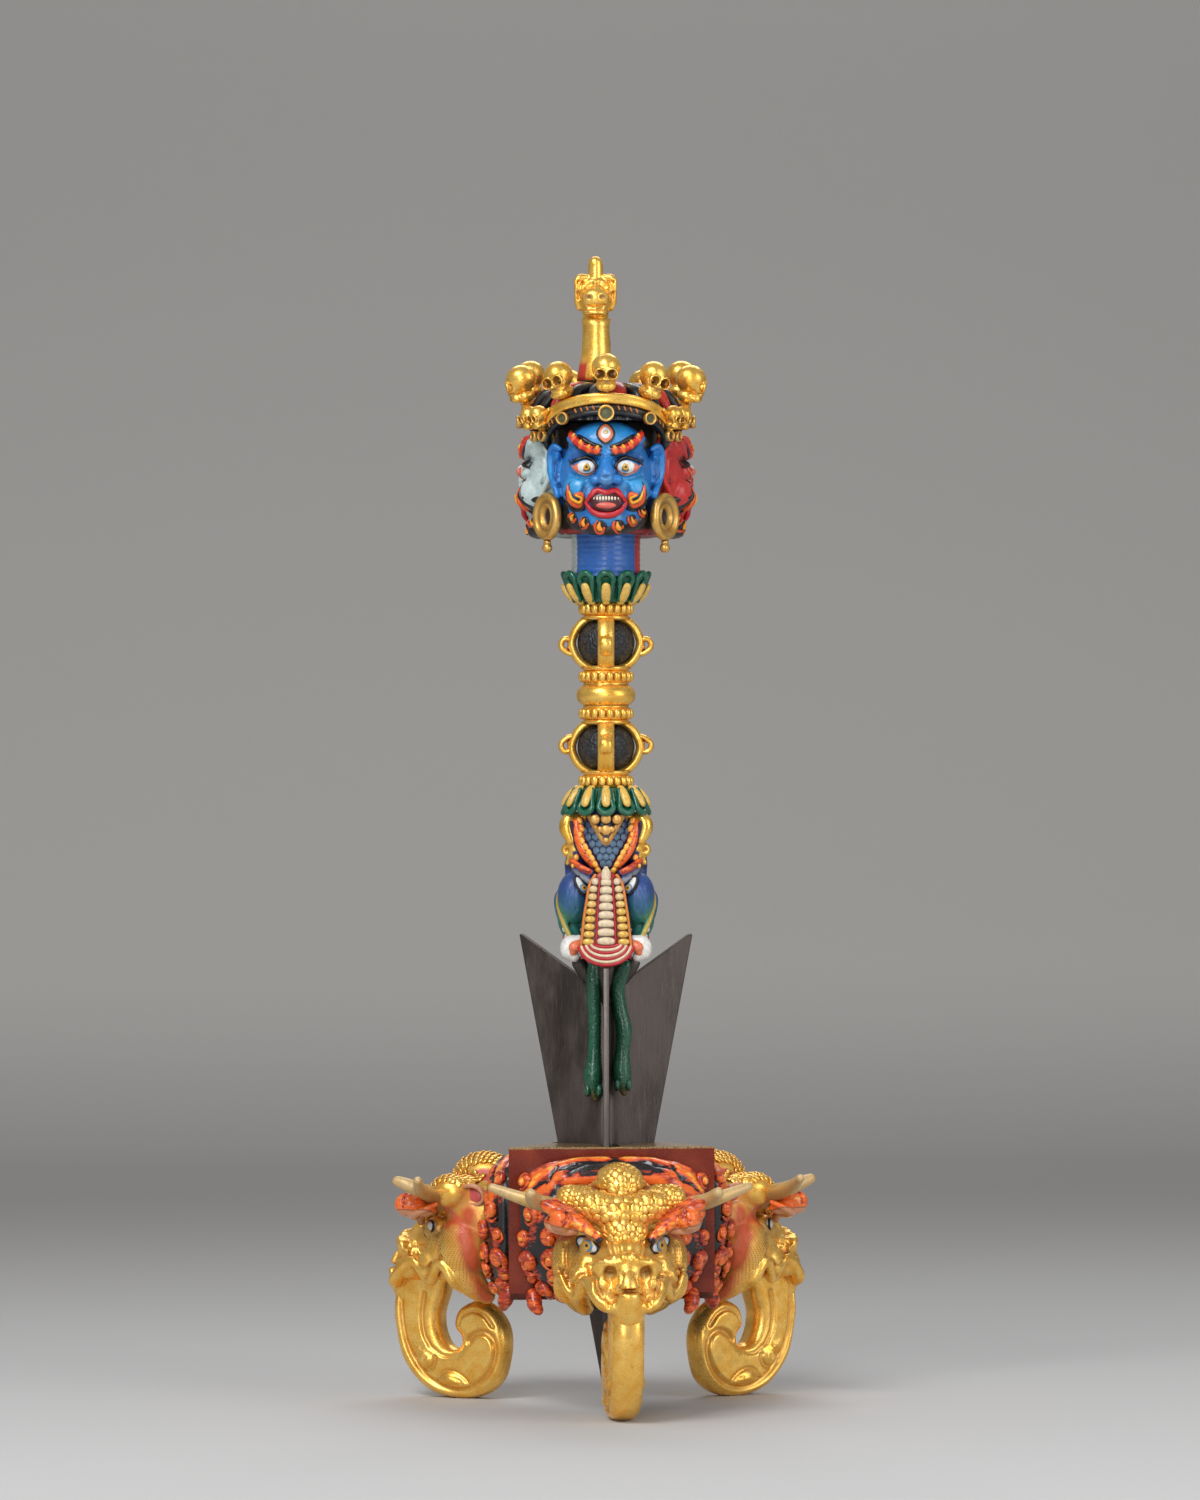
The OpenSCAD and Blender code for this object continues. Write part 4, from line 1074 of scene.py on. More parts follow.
def head_lumps():
    bm = new_piece()
    for centre, radii in (
        ((0, -33.5, 48), (15, 11, 13)), ((0, -35, 57.8), (6.9, 9, 7.2)), ((0, -43, 51.3), (9.2, 7, 6.2)),
        ((0, -48, 47), (6.4, 4.8, 4.6)),
    ):
        ball(bm, centre, radii)
    bar(bm, [(0, -42, 41.5, 9.2), (0, -49, 40.3, 7.8), (0, -54.3, 39.2, 5.4)], 16)
    ball(bm, (0, -51, 43.2), (5.6, 5, 3.8))
    bar(bm, [
        (0, -57.6, 38.6, 2.2), (0, -59.4, 36, 2.8), (0, -59.6, 33.2, 3.6), (0, -58.2, 30.2, 4.2),
        (0, -57, 27.6, 4.3),
    ], 16)
    for side in (-1, 1):
        bar(bm, mirrored([(1, -58.2, 37, 1.6), (2.2, -58.2, 34, 2), (3.4, -57.6, 32, 2)], side))
    ball(bm, (0, -53.4, 34), (6.6, 6.6, 4.2))
    for side in (-1, 1):
        for (x, y, z), radii in (
            ((8, -45.2, 45), (3.7, 3.7, 3.4)), ((6.6, -42.6, 53.4), (6.2, 5.4, 5)),
            ((10, -37.5, 54.2), (5.2, 7.2, 5.2)), ((11.8, -36, 40.2), (5.8, 7.2, 8.6)),
            ((9, -41, 38), (5, 8, 7)), ((5.4, -54.8, 39.4), (3.1, 3.4, 3)),
        ):
            ball(bm, (side * x, y, z), radii)
        bar(bm, mirrored([(12, -36, 35, 4.6), (10.4, -33, 30.6, 3.6), (8.4, -30.6, 28, 2.4)], side), 14)
        for (x, y, z), radii in (
            ((6.6, -54, 35.4), (3.4, 4.4, 4)), ((11.4, -45.5, 36.4), (2.6, 4, 3.4)),
            ((12.6, -39, 55.2), (4.6, 5.6, 4.4)),
        ):
            ball(bm, (side * x, y, z), radii)
        roll = [
            (0, -59.4, 30.6, 1.5), (3.2, -59.4, 30.2, 1.75), (6.4, -58.4, 31, 1.85), (8.4, -56, 33.6, 1.7),
            (9.4, -52.9, 36.1, 1.65), (10.2, -50.3, 36.3, 1.6), (10.9, -47.8, 33.4, 1.55),
            (12, -45.3, 31.6, 1.5), (13.8, -43.3, 33.6, 1.5), (15.3, -41.2, 36.8, 1.5),
            (16, -38.8, 35.2, 1.45), (15.3, -37, 31.8, 1.35), (11.6, -35, 29.2, 1.2), (8.8, -33, 27.2, 1.1),
        ]
        bar(bm, mirrored(roll, side), 12, 90)
        for x in (1.3, 3.7, 6):
            ball(bm, (side * x, -57.6 + 0.06 * x * x, 42.9 - 0.05 * x * x), (1.25, 1.6, 1.3))
        rim = [
            (8.3, -53.6, 38.2, 1), (7.6, -56, 40.8, 1.15), (4.6, -57.9, 41.3, 1.1), (1.6, -58.2, 41.7, 1.1),
            (0, -58.3, 42, 1.1),
        ]
        bar(bm, mirrored(rim, side), 12, 30)
    return bm


def sculpted_head():
    clay = Clay(head_lumps(), 0.42, 6)
    # dark is painted shade for the nostrils.
    skin, dark = (0.30, 0.105, 0.022, 0.45), (0.035, 0.012, 0.004, 0.9)
    for side in (-1, 1):
        clay.carve([(4.7, -58.6, 38.8), (4.9, -58, 38.6)], 2, -2.3, side, 3)
        for x in (0.9, 2.6, 4.4):
            clay.carve([(x, -50.5, 46.5), (x * 1.1, -55, 43.8), (x * 1.3, -57.6, 42.2)], 0.85, 0.42, side)
        for r in (0, 1.2, 2.4, 3.6):
            arc = [
                (8.6, -46 - r, 37 + 0.5 * r), (8.9, -50 - r * 0.4, 38.2 + 0.6 * r),
                (8.2, -54, 40.4 + 0.3 * r),
            ]
            clay.carve(arc, 0.7, -0.36, side)
        for r in (0, 1.1, 2.2, 3.3):
            arc = [
                (7.6 - r * 0.8, -56.4, 37.2), (7.4 - r, -57.2, 34.4 + 0.3 * r),
                (5.4 - r, -58.8, 32 + 0.5 * r), (2.9 - r * 0.4, -60, 32.6 + 0.8 * r),
            ]
            clay.carve(arc, 0.7, -0.36, side)
        clay.carve([(8.6, -52, 39.9), (9.2, -49.4, 40.4), (9.4, -47.6, 39.8)], 0.9, -0.7, side)
        band = [(14.6, -41.6, 45.6), (14.6, -42.4, 40.6), (13.6, -41.5, 36.8)]
        clay.carve(band, 1, -0.9, side)
        inner = [(12.9, -42.6, 34.6), (13.8, -40.2, 33), (12.6, -38.5, 30)]
        clay.carve(inner, 1.3, -1.1, side)
        for r in (0, 1, 2):
            flap = [
                (13 - 0.3 * r, -36.5, 30.5 - r), (11.4, -34 + 0.3 * r, 27.8 - 0.6 * r),
                (9.6, -31.6, 27 - 0.5 * r),
            ]
            clay.carve(flap, 0.5, -0.3, side)
        clay.carve([(9.4, -45.6, 45.4)], 3.4, -0.4, side)
        clay.carve([(5.4, -50.6, 46.2), (7.6, -46.4, 49.4), (12, -42, 53)], 1.6, -1, side)
    clay.refresh()
    for side in (-1, 1):
        for line, wide, deep in (
            ([
                (3.2, -60, 32.9), (6.4, -58.4, 33.2), (7.6, -56.6, 35.8), (8.3, -53.6, 38),
                (9.8, -50.6, 38.2), (11.6, -47.6, 36), (12.8, -45, 34.8), (14.2, -42.8, 36.6),
                (15.6, -40.4, 38),
            ], 1.15, 1), ([(8.4, -53, 41.8), (8.7, -54.6, 38.8), (7.2, -57, 36.4)], 0.9, 0.6),
            ([(2, -60, 38.4), (3.4, -61, 35.4), (4.8, -60.4, 32.4), (5, -60, 30.6)], 0.9, 0.9),
            ([(1.6, -57, 44.6), (4.6, -56, 44), (7.6, -53.6, 42.8)], 0.9, 0.5),
        ):
            path = clay.along(mirrored(line, side), 30)
            clay.press(path, wide, -deep)
            # Painted shade: each pressed groove is painted dark red-brown.
            clay.draw(path, 0.9 * wide, (0.16, 0.045, 0.008, 0.55), 0.9, 0.8)
    clay.refresh()
    for side in (-1, 1):
        for points, width, colour, strength, edge in (
            ([(9.4, -45.6, 45.4), (12.6, -43, 44)], 5.2, skin, 0.8, 0.8),
            # The dark spot in each nostril is painted shade.
            ([(7.5, -50, 44)], 3.4, skin, 0.7, 0.9), ([(4.8, -57.6, 38.8)], 2.3, dark, 1, 0.5),
            ([(9.2, -51, 40.1), (9.4, -48, 40.1)], 0.8, (*RED[:3], 0.7), 0.7, 0.8),
            ([(14.2, -40.2, 50), (15.2, -36.5, 47)], 3.2, (*PINK[:3], 0.9), 0.95, 0.5),
            ([
                (16.2, -33, 50), (17.6, -31.8, 42), (15.8, -30, 34), (11.5, -28.4, 27),
            ], 6.2, (*RED[:3], 0.95), 0.95, 0.7),
            ([
                (12.6, -42.5, 48.4), (15.6, -38.4, 47.2), (17.2, -34.6, 44.4),
            ], 2.6, (*RED[:3], 0.9), 0.95, 0.5),
            ([(9.8, -46.6, 44.2), (13.2, -41.6, 44.4)], 2.2, (0.075, 0.035, 0.018, 0.7), 0.8, 0.7),
            ([(8.4, -37, 57.6), (7.6, -33, 59.6), (7.2, -28, 61.2)], 3.2, (*PINK[:3], 0.95), 1, 0.4),
            ([(16.5, -31.5, 56), (13.5, -27.8, 60.5)], 5, (*RED[:3], 0.9), 1, 0.5),
        ):
            clay.draw(mirrored(points, side), width, colour, strength, edge)
    clay.draw([(0, -50.4, 45.4)], 3.2, (0.33, 0.06, 0.015, 0.5), 0.8, 0.8)
    # Orange-brown along the creases beside the grooves: partly the red-brown ground, partly painted shade.
    ground_and_shade = (0.36, 0.115, 0.018, 0.5)
    for side in (-1, 1):
        for points, width, colour, strength, edge in (
            ([(3.4, -55.4, 44.4), (6.4, -52.6, 43.2), (8.2, -50, 41.6)], 2.2, ground_and_shade, 0.8, 0.9),
            ([(7, -57.6, 33.6), (8.4, -55, 36.6), (10.4, -50.4, 38.6)], 1.5, ground_and_shade, 0.8, 0.9),
            ([(14.6, -42.2, 38.6), (12, -45.6, 37.4)], 1.5, ground_and_shade, 0.8, 0.9),
        ):
            clay.draw(mirrored(points, side), width, colour, strength, edge)
    clay.draw([(0, -60.4, 33.4), (0.4, -60.2, 31.8)], 2.3, (0.10, 0.10, 0.02, 0.6), 0.75, 0.8)
    clay.shade(lambda x, y, z: (y + 27.5) / 1.5, BLACK)
    for side in (-1, 1):
        clay.draw(
            mirrored([(16.8, -37, 46), (17.4, -37, 41), (15.6, -35.5, 35.5), (12, -33, 30.5)], side), 2.6,
            (0.75, 0.24, 0.04, 0.35), 0.8, 0.9,
        )
    return clay


def add_eye(bm, clay, side, inner, outer, half_h, iris_share, bulge, look=None):
    """Painted almond eye between two corners; look is the way it faces, if not that of the mass."""
    inner, outer = Vector(mirrored([inner], side)[0]), Vector(mirrored([outer], side)[0])
    at = (inner + outer) / 2
    along = outer - inner
    if look:
        normal = Vector(mirrored([look], side)[0]).normalized()
    else:
        at, normal = clay.facing(at)
    turn = standing(normal, along)
    half = along.length / 2
    centre = at + normal * 0.1
    ball(bm, centre, (half, half_h, bulge), turn, 4, EYE_WHITE)
    iris = centre + along.normalized() * (iris_share - 0.5) * 2 * half
    rings = ((0.95, 0.92, EYE_BLUE), (0.74, 1, EYE_GOLD), (0.38, 1.08, paint(10, 12, 18)))
    for size, lift, colour in rings:
        r = half_h * size
        ball(bm, iris + normal * lift * bulge, (r, r, 0.26 * bulge), turn, 3, colour)
    for way in (-1, 1):
        edge = []
        for k in range(9):
            angle = math.pi * k / 8
            x, y = -half * 1.02 * math.cos(angle), way * half_h * 1.05 * math.sin(angle)
            edge.append((*(centre + turn @ Vector((x, y, 0.25 * bulge))), 0.34))
        bar(bm, edge, 8, 24, normal, 1, paint(24, 20, 34))


def make_heads():
    clay = sculpted_head()
    dots = new_piece()
    freckle = paint(104, 50, 18, 0.8)
    spine = [
        (0, -50.8, 45.6), (0, -49.6, 50.2), (0, -45.4, 55.6), (0, -42.2, 58.5), (0, -39.5, 62),
        (0, -35, 64.3), (0, -30.5, 63.6),
    ]
    wide = [(0, 5.2), (0.15, 7), (0.3, 10.4), (0.42, 11.2), (0.55, 7), (0.7, 6.6), (0.85, 6), (1, 4.5)]
    scaled_rows(dots, clay, spine, 20, wide, [(0, 2.1), (0.3, 2.5), (0.55, 2.3), (1, 2)])
    for side in (-1, 1):
        lobe = [
            (9.6, -45, 53.6), (10.6, -43.4, 56.8), (11.2, -40, 59.4), (11.6, -36, 59.8), (11.4, -33, 58.4),
        ]
        for i, spot in enumerate(smooth_path(mirrored(lobe, side), 11)):
            for k in range(-2, 4):
                x = spot[0] + side * (k - 0.6 + 0.5 * (i % 2)) * 1.9
                at, normal = clay.facing((x, spot[1], spot[2]))
                turn = standing(normal, Vector((0, 1.4, 1.4)).cross(normal)) @ about("X", 24)
                plate(dots, at + normal * 0.1, turn, 1.12, 1.2)
        add_eye(
            dots, clay, side, (6.5, -49, 43.9), (11.6, -44.4, 46.4), 1.7, 0.42, 1.2, (0.69, -0.72, 0.05),
        )
        band = [
            (16.4, -37.5, 46.4), (17.4, -36.8, 42.5), (17.2, -36, 38.5), (15, -34, 34.5),
            (12.4, -31.6, 30.6), (9.6, -29.8, 28.4),
        ]
        for i, spot in enumerate(smooth_path(mirrored(band, side), 38)):
            for k in range(8):
                back = (k - 4.2 + 0.5 * (i % 2)) * 0.95
                at, _ = clay.facing((spot[0] - side * 0.25 * max(-back, 0) ** 1.4, spot[1] + back, spot[2]))
                ball(dots, at, 0.14, None, 1, freckle)
        for i in range(11):
            for k in range(9):
                x, z = side * (11 + 0.85 * k + 0.42 * (i % 2)), 35.6 + 0.95 * i
                at, normal = front_spot(clay, x, z)
                if abs(z - 41.5 - 0.5 * (15 - abs(x))) < 4.6 and normal.y < -0.25:
                    ball(dots, at, 0.14, None, 1, freckle)
    dots_mesh = as_mesh(dots, "dots")
    for side, turn in SIDES.items():
        node = "makara_head_" + side
        bm = clay.onto(new_piece())
        bm.from_mesh(dots_mesh)
        finished(bm, node + "_sculpted", "stand", STAND_GILT, node, turn)


def sculpted_brow():
    """One flaming brow of a makara, with the cream lid under its outer end; the other mirrors it."""
    bm = new_piece()
    bar(bm, [
        (6.6, -50.6, 46.6, 1), (9.4, -49.6, 49, 1.5), (13, -48.2, 51.6, 1.9), (16.4, -46.8, 53.4, 2.2),
        (19.6, -45.6, 55.2, 1.7),
    ], 12, 30, UP, 1, ORANGE)
    bar(bm, [(8.6, -48.4, 49.6, 0.9), (13, -46.4, 53.2, 1.2), (17.6, -44.2, 56, 1.1)], 10, 24, UP, 1, PINK)
    ball(bm, (16.4, -49.8, 51.8), (3, 3.6, 3.3), None, 3, ORANGE)
    bar(bm, [
        (12.6, -47.6, 48.6, 0.9), (15, -48.4, 48.7, 1.1), (18.2, -47, 49.4, 1.1), (19.4, -43.6, 50.8, 0.9),
        (18, -40.8, 52.2, 0.7),
    ], 10, 26, UP, 1, PEACH)
    ball(bm, (16, -45.4, 50.6), (2.9, 3.6, 1.9), None, 3, PEACH)
    clay = Clay(bm, 0.3, 3, heat(0.80))
    clay.shade(lambda x, y, z: z - 51.4 - 0.45 * (x - 13), heat(0.56))
    clay.shade(lambda x, y, z: (49.3 + 0.25 * (x - 13) - z) / 0.5, PEACH)
    clay.draw([
        (7, -51.3, 47.2), (10, -50.8, 49), (14, -51, 51.4), (17, -49.5, 53),
    ], 1.4, heat(1.1), 0.9, 0.7)
    cracks = [
        [(7.6, -51, 48.6), (8.6, -50.8, 46.6)], [(10.4, -50.6, 50.6), (11, -50.8, 48.4)],
        [(13, -50.4, 52.6), (13.6, -51.4, 49.8)], [(15.6, -51.4, 53.4), (16.2, -51.8, 50.6)],
        [(17.6, -49.8, 54.6), (18.2, -50, 51.4)], [(14.6, -52, 52.4), (16.4, -52, 51.6)],
    ]
    for crack in cracks:
        path = clay.along(crack, 8)
        clay.press(path, 0.6, -0.45)
        clay.draw(path, 0.5, heat(0), 0.95, 0.5)
    clay.draw([(5.4, -50.6, 46.2), (6.8, -51.2, 46.4)], 1.4, heat(0), 0.9, 0.5)
    clay.draw([(18, -51, 47.9), (12, -50.8, 47.2)], 0.7, paint(120, 60, 40), 0.6, 0.8)
    return clay


def make_brows():
    clay = sculpted_brow()
    for side, turn in SIDES.items():
        bm = clay.onto(new_piece())
        bmesh.ops.mirror(bm, geom=bm.verts[:] + bm.edges[:] + bm.faces[:], axis="X", merge_dist=0)
        finished(bm, "brows_" + side + "_flames", "stand", FLAMES, "brows_" + side, turn)


# Dagger: the head with its three faces

def face_lumps():
    bm = new_piece()
    for centre, radii in (
        ((0, -10.5, 242), (12, 12.2, 14.4)), ((0, -13.6, 250.6), (9.9, 8.8, 6.4)),
        ((0, -11.5, 233), (10.2, 9.4, 6.2)), ((0, -18.2, 231), (6.2, 4.4, 4.2)),
        ((0, -20, 235.6), (5.8, 3.9, 4.2)),
    ):
        ball(bm, centre, radii)
    bar(bm, [
        (0, -21.2, 248, 1.4), (0, -23, 244.8, 1.7), (0, -24.4, 242.4, 2.1), (0, -24.2, 241.4, 2),
    ], 14, 16)
    for side in (-1, 1):
        ball(bm, (side * 6.3, -17, 238.6), (5, 5, 4.8))
        ball(bm, (side * 2.7, -22.9, 241.1), (1.75, 2, 1.5))
        bar(bm, mirrored([(1.6, -21.6, 248.2, 1.5), (5, -20.6, 249.4, 1.7), (9, -17.4, 252, 1.3)], side))
        ball(bm, (side * 5.5, -19.2, 244.3), (3.5, 3.2, 2.6))
        ball(bm, (side * 12.6, -9.8, 244.8), (1.3, 2, 5.2))
        helix = [
            (12, -11.8, 249.6, 0.7), (13.6, -10.6, 250.4, 0.9), (14.6, -9, 248.6, 0.9),
            (14.7, -8.6, 245, 0.85), (14.1, -9.4, 241.6, 0.8), (13.2, -11.2, 239.4, 0.9),
            (12.6, -12, 237.6, 1),
        ]
        bar(bm, mirrored(helix, side), 12, 34)
        inner = [
            (12.6, -12, 247.6, 0.7), (13.6, -10.8, 246.4, 0.65), (13.2, -11.2, 243.2, 0.7),
            (12.4, -12.4, 241.2, 0.6),
        ]
        bar(bm, mirrored(inner, side), 10, 20)
    return bm


def sculpted_face():
    clay = Clay(face_lumps(), 0.34, 5)
    for side in (-1, 1):
        for points, width, height in (
            ([(3.6, -22, 243), (4.6, -22, 240.6), (6.2, -20, 238), (6.6, -19, 235)], 1.1, -0.7),
            ([(2.4, -21, 246.8), (5.6, -20, 247.6), (9, -17, 247.2)], 0.9, -0.55),
            ([(2.6, -21, 242.8), (5.6, -20, 241.6), (8.8, -17.5, 242.8)], 0.9, -0.45),
            ([(1.7, -23.6, 239.8)], 0.9, -0.7), ([(13.4, -12, 245.4), (13.4, -12, 242.4)], 0.9, -0.7),
        ):
            clay.carve(points, width, height, side)
    clay.carve([(-1.2, -23, 247.4), (0, -23, 247), (1.2, -23, 247.4)], 0.7, -0.4)
    clay.press(arch([(0, -23, 240.2), (5.4, -22, 239.2), (6.6, -18, 236)]), 0.9, -0.4)
    clay.refresh()
    return clay


def face_eye(bm, clay, side):
    x, z = side * 5.45, 244.4
    spot, normal = front_spot(clay, x, z)
    turn = standing(normal, (1, 0, 0))
    salmon = paint(222, 112, 88)
    ball(bm, spot - normal * 0.5, (3.15, 1.5, 1.25), turn, 3, salmon)
    white = spot + turn @ Vector((side * -0.2, 0.15, 0))
    ball(bm, white - normal * 0.1, (2.35, 1.72, 1.3), turn, 4, EYE_WHITE)
    iris = white + turn @ Vector((side * -0.15, -0.15, 0))
    for size, lift, colour in (
        (1.36, 0.70, paint(96, 150, 190)), (1.18, 0.80, paint(30, 26, 22)), (1, 0.88, paint(205, 155, 35)),
        (0.5, 0.96, paint(12, 12, 16)),
    ):
        ball(bm, iris + normal * lift, (size, size, 0.42), turn, 3, colour)
    upper = [
        (x - side * -3.6, z + 0.9, 0.22), (x - side * -2.4, z + 1.5, 0.42), (x, z + 2.35, 0.52),
        (x - side * 1.8, z + 1.9, 0.5), (x - side * 3, z + 0.5, 0.4), (x - side * 2.9, z - 0.4, 0.25),
    ]
    strand(bm, clay, upper, 0.35, 8, 26, BLACK)
    lower = [
        (x - side * -3.3, z + 0.6, 0.16), (x - side * -2, z - 0.9, 0.2), (x - side * 0.2, z - 1.75, 0.22),
        (x - side * 1.9, z - 1.2, 0.2), (x - side * 2.9, z - 0.2, 0.16),
    ]
    strand(bm, clay, lower, 0.25, 8, 22, paint(236, 150, 110))
    for k in range(4):
        start = x - side * (-3.4 + 0.8 * k)
        lash = [(start, z + 1.2 + 0.25 * k, 0.2), (start + side * 0.7, z + 2.1 + 0.15 * k, 0.08)]
        strand(bm, clay, lash, 0.3, 6, 6, BLACK)


def flame_drop(bm, clay, x, z, size, lean):
    """Curl of fire: a red hook round a yellow drop, with a dark dot."""
    c, s = math.cos(math.radians(lean)), math.sin(math.radians(lean))

    def at(px, pz, r):
        return x + size * (px * c - pz * s), z + size * (px * s + pz * c), r * size

    hook = [
        at(-0.5, 0.9, 0.16), at(-0.75, 0.2, 0.3), at(-0.35, -0.55, 0.38), at(0.4, -0.5, 0.34),
        at(0.6, 0.1, 0.22),
    ]
    strand(bm, clay, hook, 0.35, 8, 18, paint(232, 84, 30))
    drop = [at(-0.1, 0.75, 0.14), at(-0.15, 0.2, 0.4), at(0.05, -0.1, 0.42)]
    strand(bm, clay, drop, 0.6, 8, 12, paint(250, 164, 44))
    spot, _ = front_spot(clay, *at(0.1, -0.25, 0)[:2], 1.15)
    ball(bm, spot, 0.16 * size, None, 1, BLACK)


def face_flames(bm, clay, side):
    rust, flame, yolk = paint(214, 48, 30), paint(236, 92, 30), paint(250, 178, 40)
    lash = [(9.5, 256.2, 0.15), (8.6, 254.2, 0.55), (6.6, 252.2, 0.75), (4, 250.6, 0.7), (1.4, 249.8, 0.5)]
    strand(bm, clay, lash, -0.05, 8, 26, BLACK, side)
    under = [(9.3, 252.4, 0.35), (7.4, 249.8, 0.5), (4.6, 248.2, 0.5), (1.6, 247.6, 0.5)]
    strand(bm, clay, under, -0.12, 8, 26, paint(18, 30, 62), side)
    brow = [(9.1, 254.9, 0.3), (9.1, 253, 0.8), (7.4, 251, 1), (4.8, 249.3, 1), (2.3, 248.7, 0.95)]
    strand(bm, clay, brow, 0.1, 10, 34, rust, side)
    for x, z, r in ((9.1, 253.8, 0.75), (8, 251.6, 0.95), (6.1, 250, 1), (4.2, 249, 1), (2.2, 248.6, 1)):
        spot, normal = front_spot(clay, side * x, z, 0.55)
        turn = standing(normal, (1, 0, 0)) @ about_z(side * 35)
        ball(bm, spot, (r * 0.8, r * 1.1, 0.75), turn, 3, flame if x < 9 else yolk)
        core, normal = front_spot(clay, side * (x + 0.15), z + 0.45, 1.15)
        ball(bm, core, (r * 0.42, r * 0.7, 0.38), turn, 2, yolk)
        mark, normal = front_spot(clay, side * (x - 0.85), z - 0.05, 1.05)
        ball(bm, mark, (0.17, 0.5, 0.25), turn, 1, paint(80, 16, 12))
    edge = [(9.4, 240.6, 0.2), (9.9, 237.6, 0.75), (8.6, 234.2, 0.9), (6.2, 233.9, 0.8), (5.4, 235.6, 0.5)]
    strand(bm, clay, edge, -0.05, 8, 26, BLACK, side)
    curl = [
        (9.7, 239.6, 0.25), (9.5, 237.8, 0.6), (8.8, 235.9, 0.85), (7.3, 235, 0.9), (6.1, 236.1, 0.85),
        (6.6, 237.5, 0.7), (7.8, 237.4, 0.5),
    ]
    strand(bm, clay, curl, 0.35, 10, 40, flame, side)
    swirl = [(9, 238.2, 0.25), (8.4, 236.7, 0.4), (7.3, 236, 0.42), (6.9, 236.9, 0.4), (7.5, 237.4, 0.3)]
    strand(bm, clay, swirl, 1, 8, 26, yolk, side)


def face_mouth(bm, clay):
    z = 235.5
    lip = arch([(0, 2.1, 0.8), (2.2, 2.6, 0.9), (3.6, 1.5, 0.8), (4.9, -0.2, 0.45)])
    low = arch([(0, -3.2, 0.98), (1.6, -3, 0.95), (3.5, -2, 0.8), (4.9, -0.2, 0.45)])
    for rows in (lip, low):
        knots = laid(clay, [(x, z + dz, r) for x, dz, r in rows], 0.42)
        bar(bm, knots, 12, 44, (0, 1, 0), 1, paint(196, 20, 34))
    spot, normal = front_spot(clay, 0, z)
    turn = standing(normal, (1, 0, 0))
    ball(bm, spot - normal * 0.35, (4.2, 2.6, 1), turn, 3, paint(70, 8, 12))
    ball(bm, spot + turn @ Vector((0, -0.95, 0.1)), (2.7, 0.9, 0.95), turn, 3, paint(226, 100, 84))
    for k in range(9):
        x = (k - 4) * 0.72
        tooth, _ = front_spot(clay, x, z + 0.75 - 0.02 * x * x, 0.55)
        ball(bm, tooth, (0.33, 0.34, 0.62), None, 2, paint(240, 226, 202))


def third_eye(bm, clay):
    spot, normal = front_spot(clay, -0.1, 253.2)
    turn = standing(normal, (1, 0, 0))
    rings = (
        (2.5, 3.3, 0.50, paint(16, 22, 34), 0), (2.2, 3, 0.55, paint(228, 120, 76), 0.06),
        (1.75, 2.4, 0.60, paint(214, 222, 226), 0.1), (1.32, 1.4, 0.6, paint(56, 62, 78), 0.2),
        (1.22, 1.3, 0.62, paint(232, 236, 236), 0.25), (0.95, 0.98, 0.62, paint(196, 160, 60), 0.32),
        (0.64, 0.64, 0.62, paint(232, 232, 206), 0.38), (0.32, 0.32, 0.6, paint(120, 96, 40), 0.46),
    )
    for wide, tall, deep, colour, lift in rings:
        made = ball(bm, spot + normal * lift, (wide, tall, deep), turn, 3, colour)
        if tall > 2:
            for vert in made:
                local = vert.co - spot
                pull = abs(local.z) / tall
                vert.co.x = spot.x + local.x * (1 - 0.45 * pull * pull)


def face_beard(bm, clay):
    band = arch([(0, 227.9, 1.7), (5, 228.6, 1.9), (8.6, 230.4, 2), (10.4, 233.6, 1.8), (10.6, 237.4, 1)])
    bar(bm, laid(clay, band, -0.9, 21), 12, 60, (0, 1, 0), 1, BLACK)
    for x, z, size, lean in (
        (-8.4, 231.6, 1.35, -28), (-5.3, 230, 1.5, -16), (-1.5, 228.9, 1.65, -4), (3.1, 229.1, 1.65, 10),
        (6.6, 230.8, 1.4, 24), (9.3, 232.9, 1.2, 34),
    ):
        spot, normal = front_spot(clay, x, z, -0.1)
        ball(bm, spot, (size * 1.15, size * 1.2, 0.7), standing(normal, (1, 0, 0)), 3, BLACK)
        flame_drop(bm, clay, x, z, size, lean)


def face_paint_and_painted_light(clay, base, light, dark):
    """Skin of a face: painted highlight on its rounds and painted shade in its folds."""
    clay.paint[:] = base
    # Painted light: lighter on the forehead, cheeks, ear rims and chin, darker at the temples, in the
    # folds, the ears and the nostrils.
    clay.draw([(0, -20, 253)], 7.5, light, 0.55, 1)
    for side in (-1, 1):
        for points, width, colour, strength, edge in (
            ([(7, -19.5, 239.6)], 5.2, light, 0.85, 1),
            ([(9.5, -16, 246)], 4, blend(base, dark, 0.5), 0.5, 1),
            ([(2.6, -21, 246.6), (6, -20, 247.6), (9.4, -17, 247)], 1.5, dark, 0.7, 0.9),
            ([(3.4, -23, 242.6), (4.9, -22, 240.2), (6.6, -20, 236.4)], 1.2, dark, 0.75, 0.9),
            ([(13.4, -12, 246), (13.2, -12, 242)], 1.3, dark, 0.8, 0.8),
            ([(14.6, -9, 248), (14.2, -9.4, 242)], 0.8, light, 0.5, 0.8),
            ([(2.6, -24, 239.9)], 1.3, dark, 0.7, 0.9),
        ):
            clay.draw(mirrored(points, side), width, colour, strength, edge)
    # Painted highlight on the tip of the nose, and painted shade under it.
    clay.draw([(0, -26, 241)], 2.4, blend(light, paint(150, 160, 160), 0.55), 0.55, 1)
    clay.draw([(-4.5, -22, 240.2), (0, -22, 239.6), (4.5, -22, 240.2)], 0.9, dark, 0.6, 0.9)
    clay.draw([(-3, -22, 231.6), (0, -22, 231.2), (3, -22, 231.6)], 1.6, light, 0.6, 1)
    clay.shade(lambda x, y, z: 1 - (z - 226.6) / 1.6, BLACK)


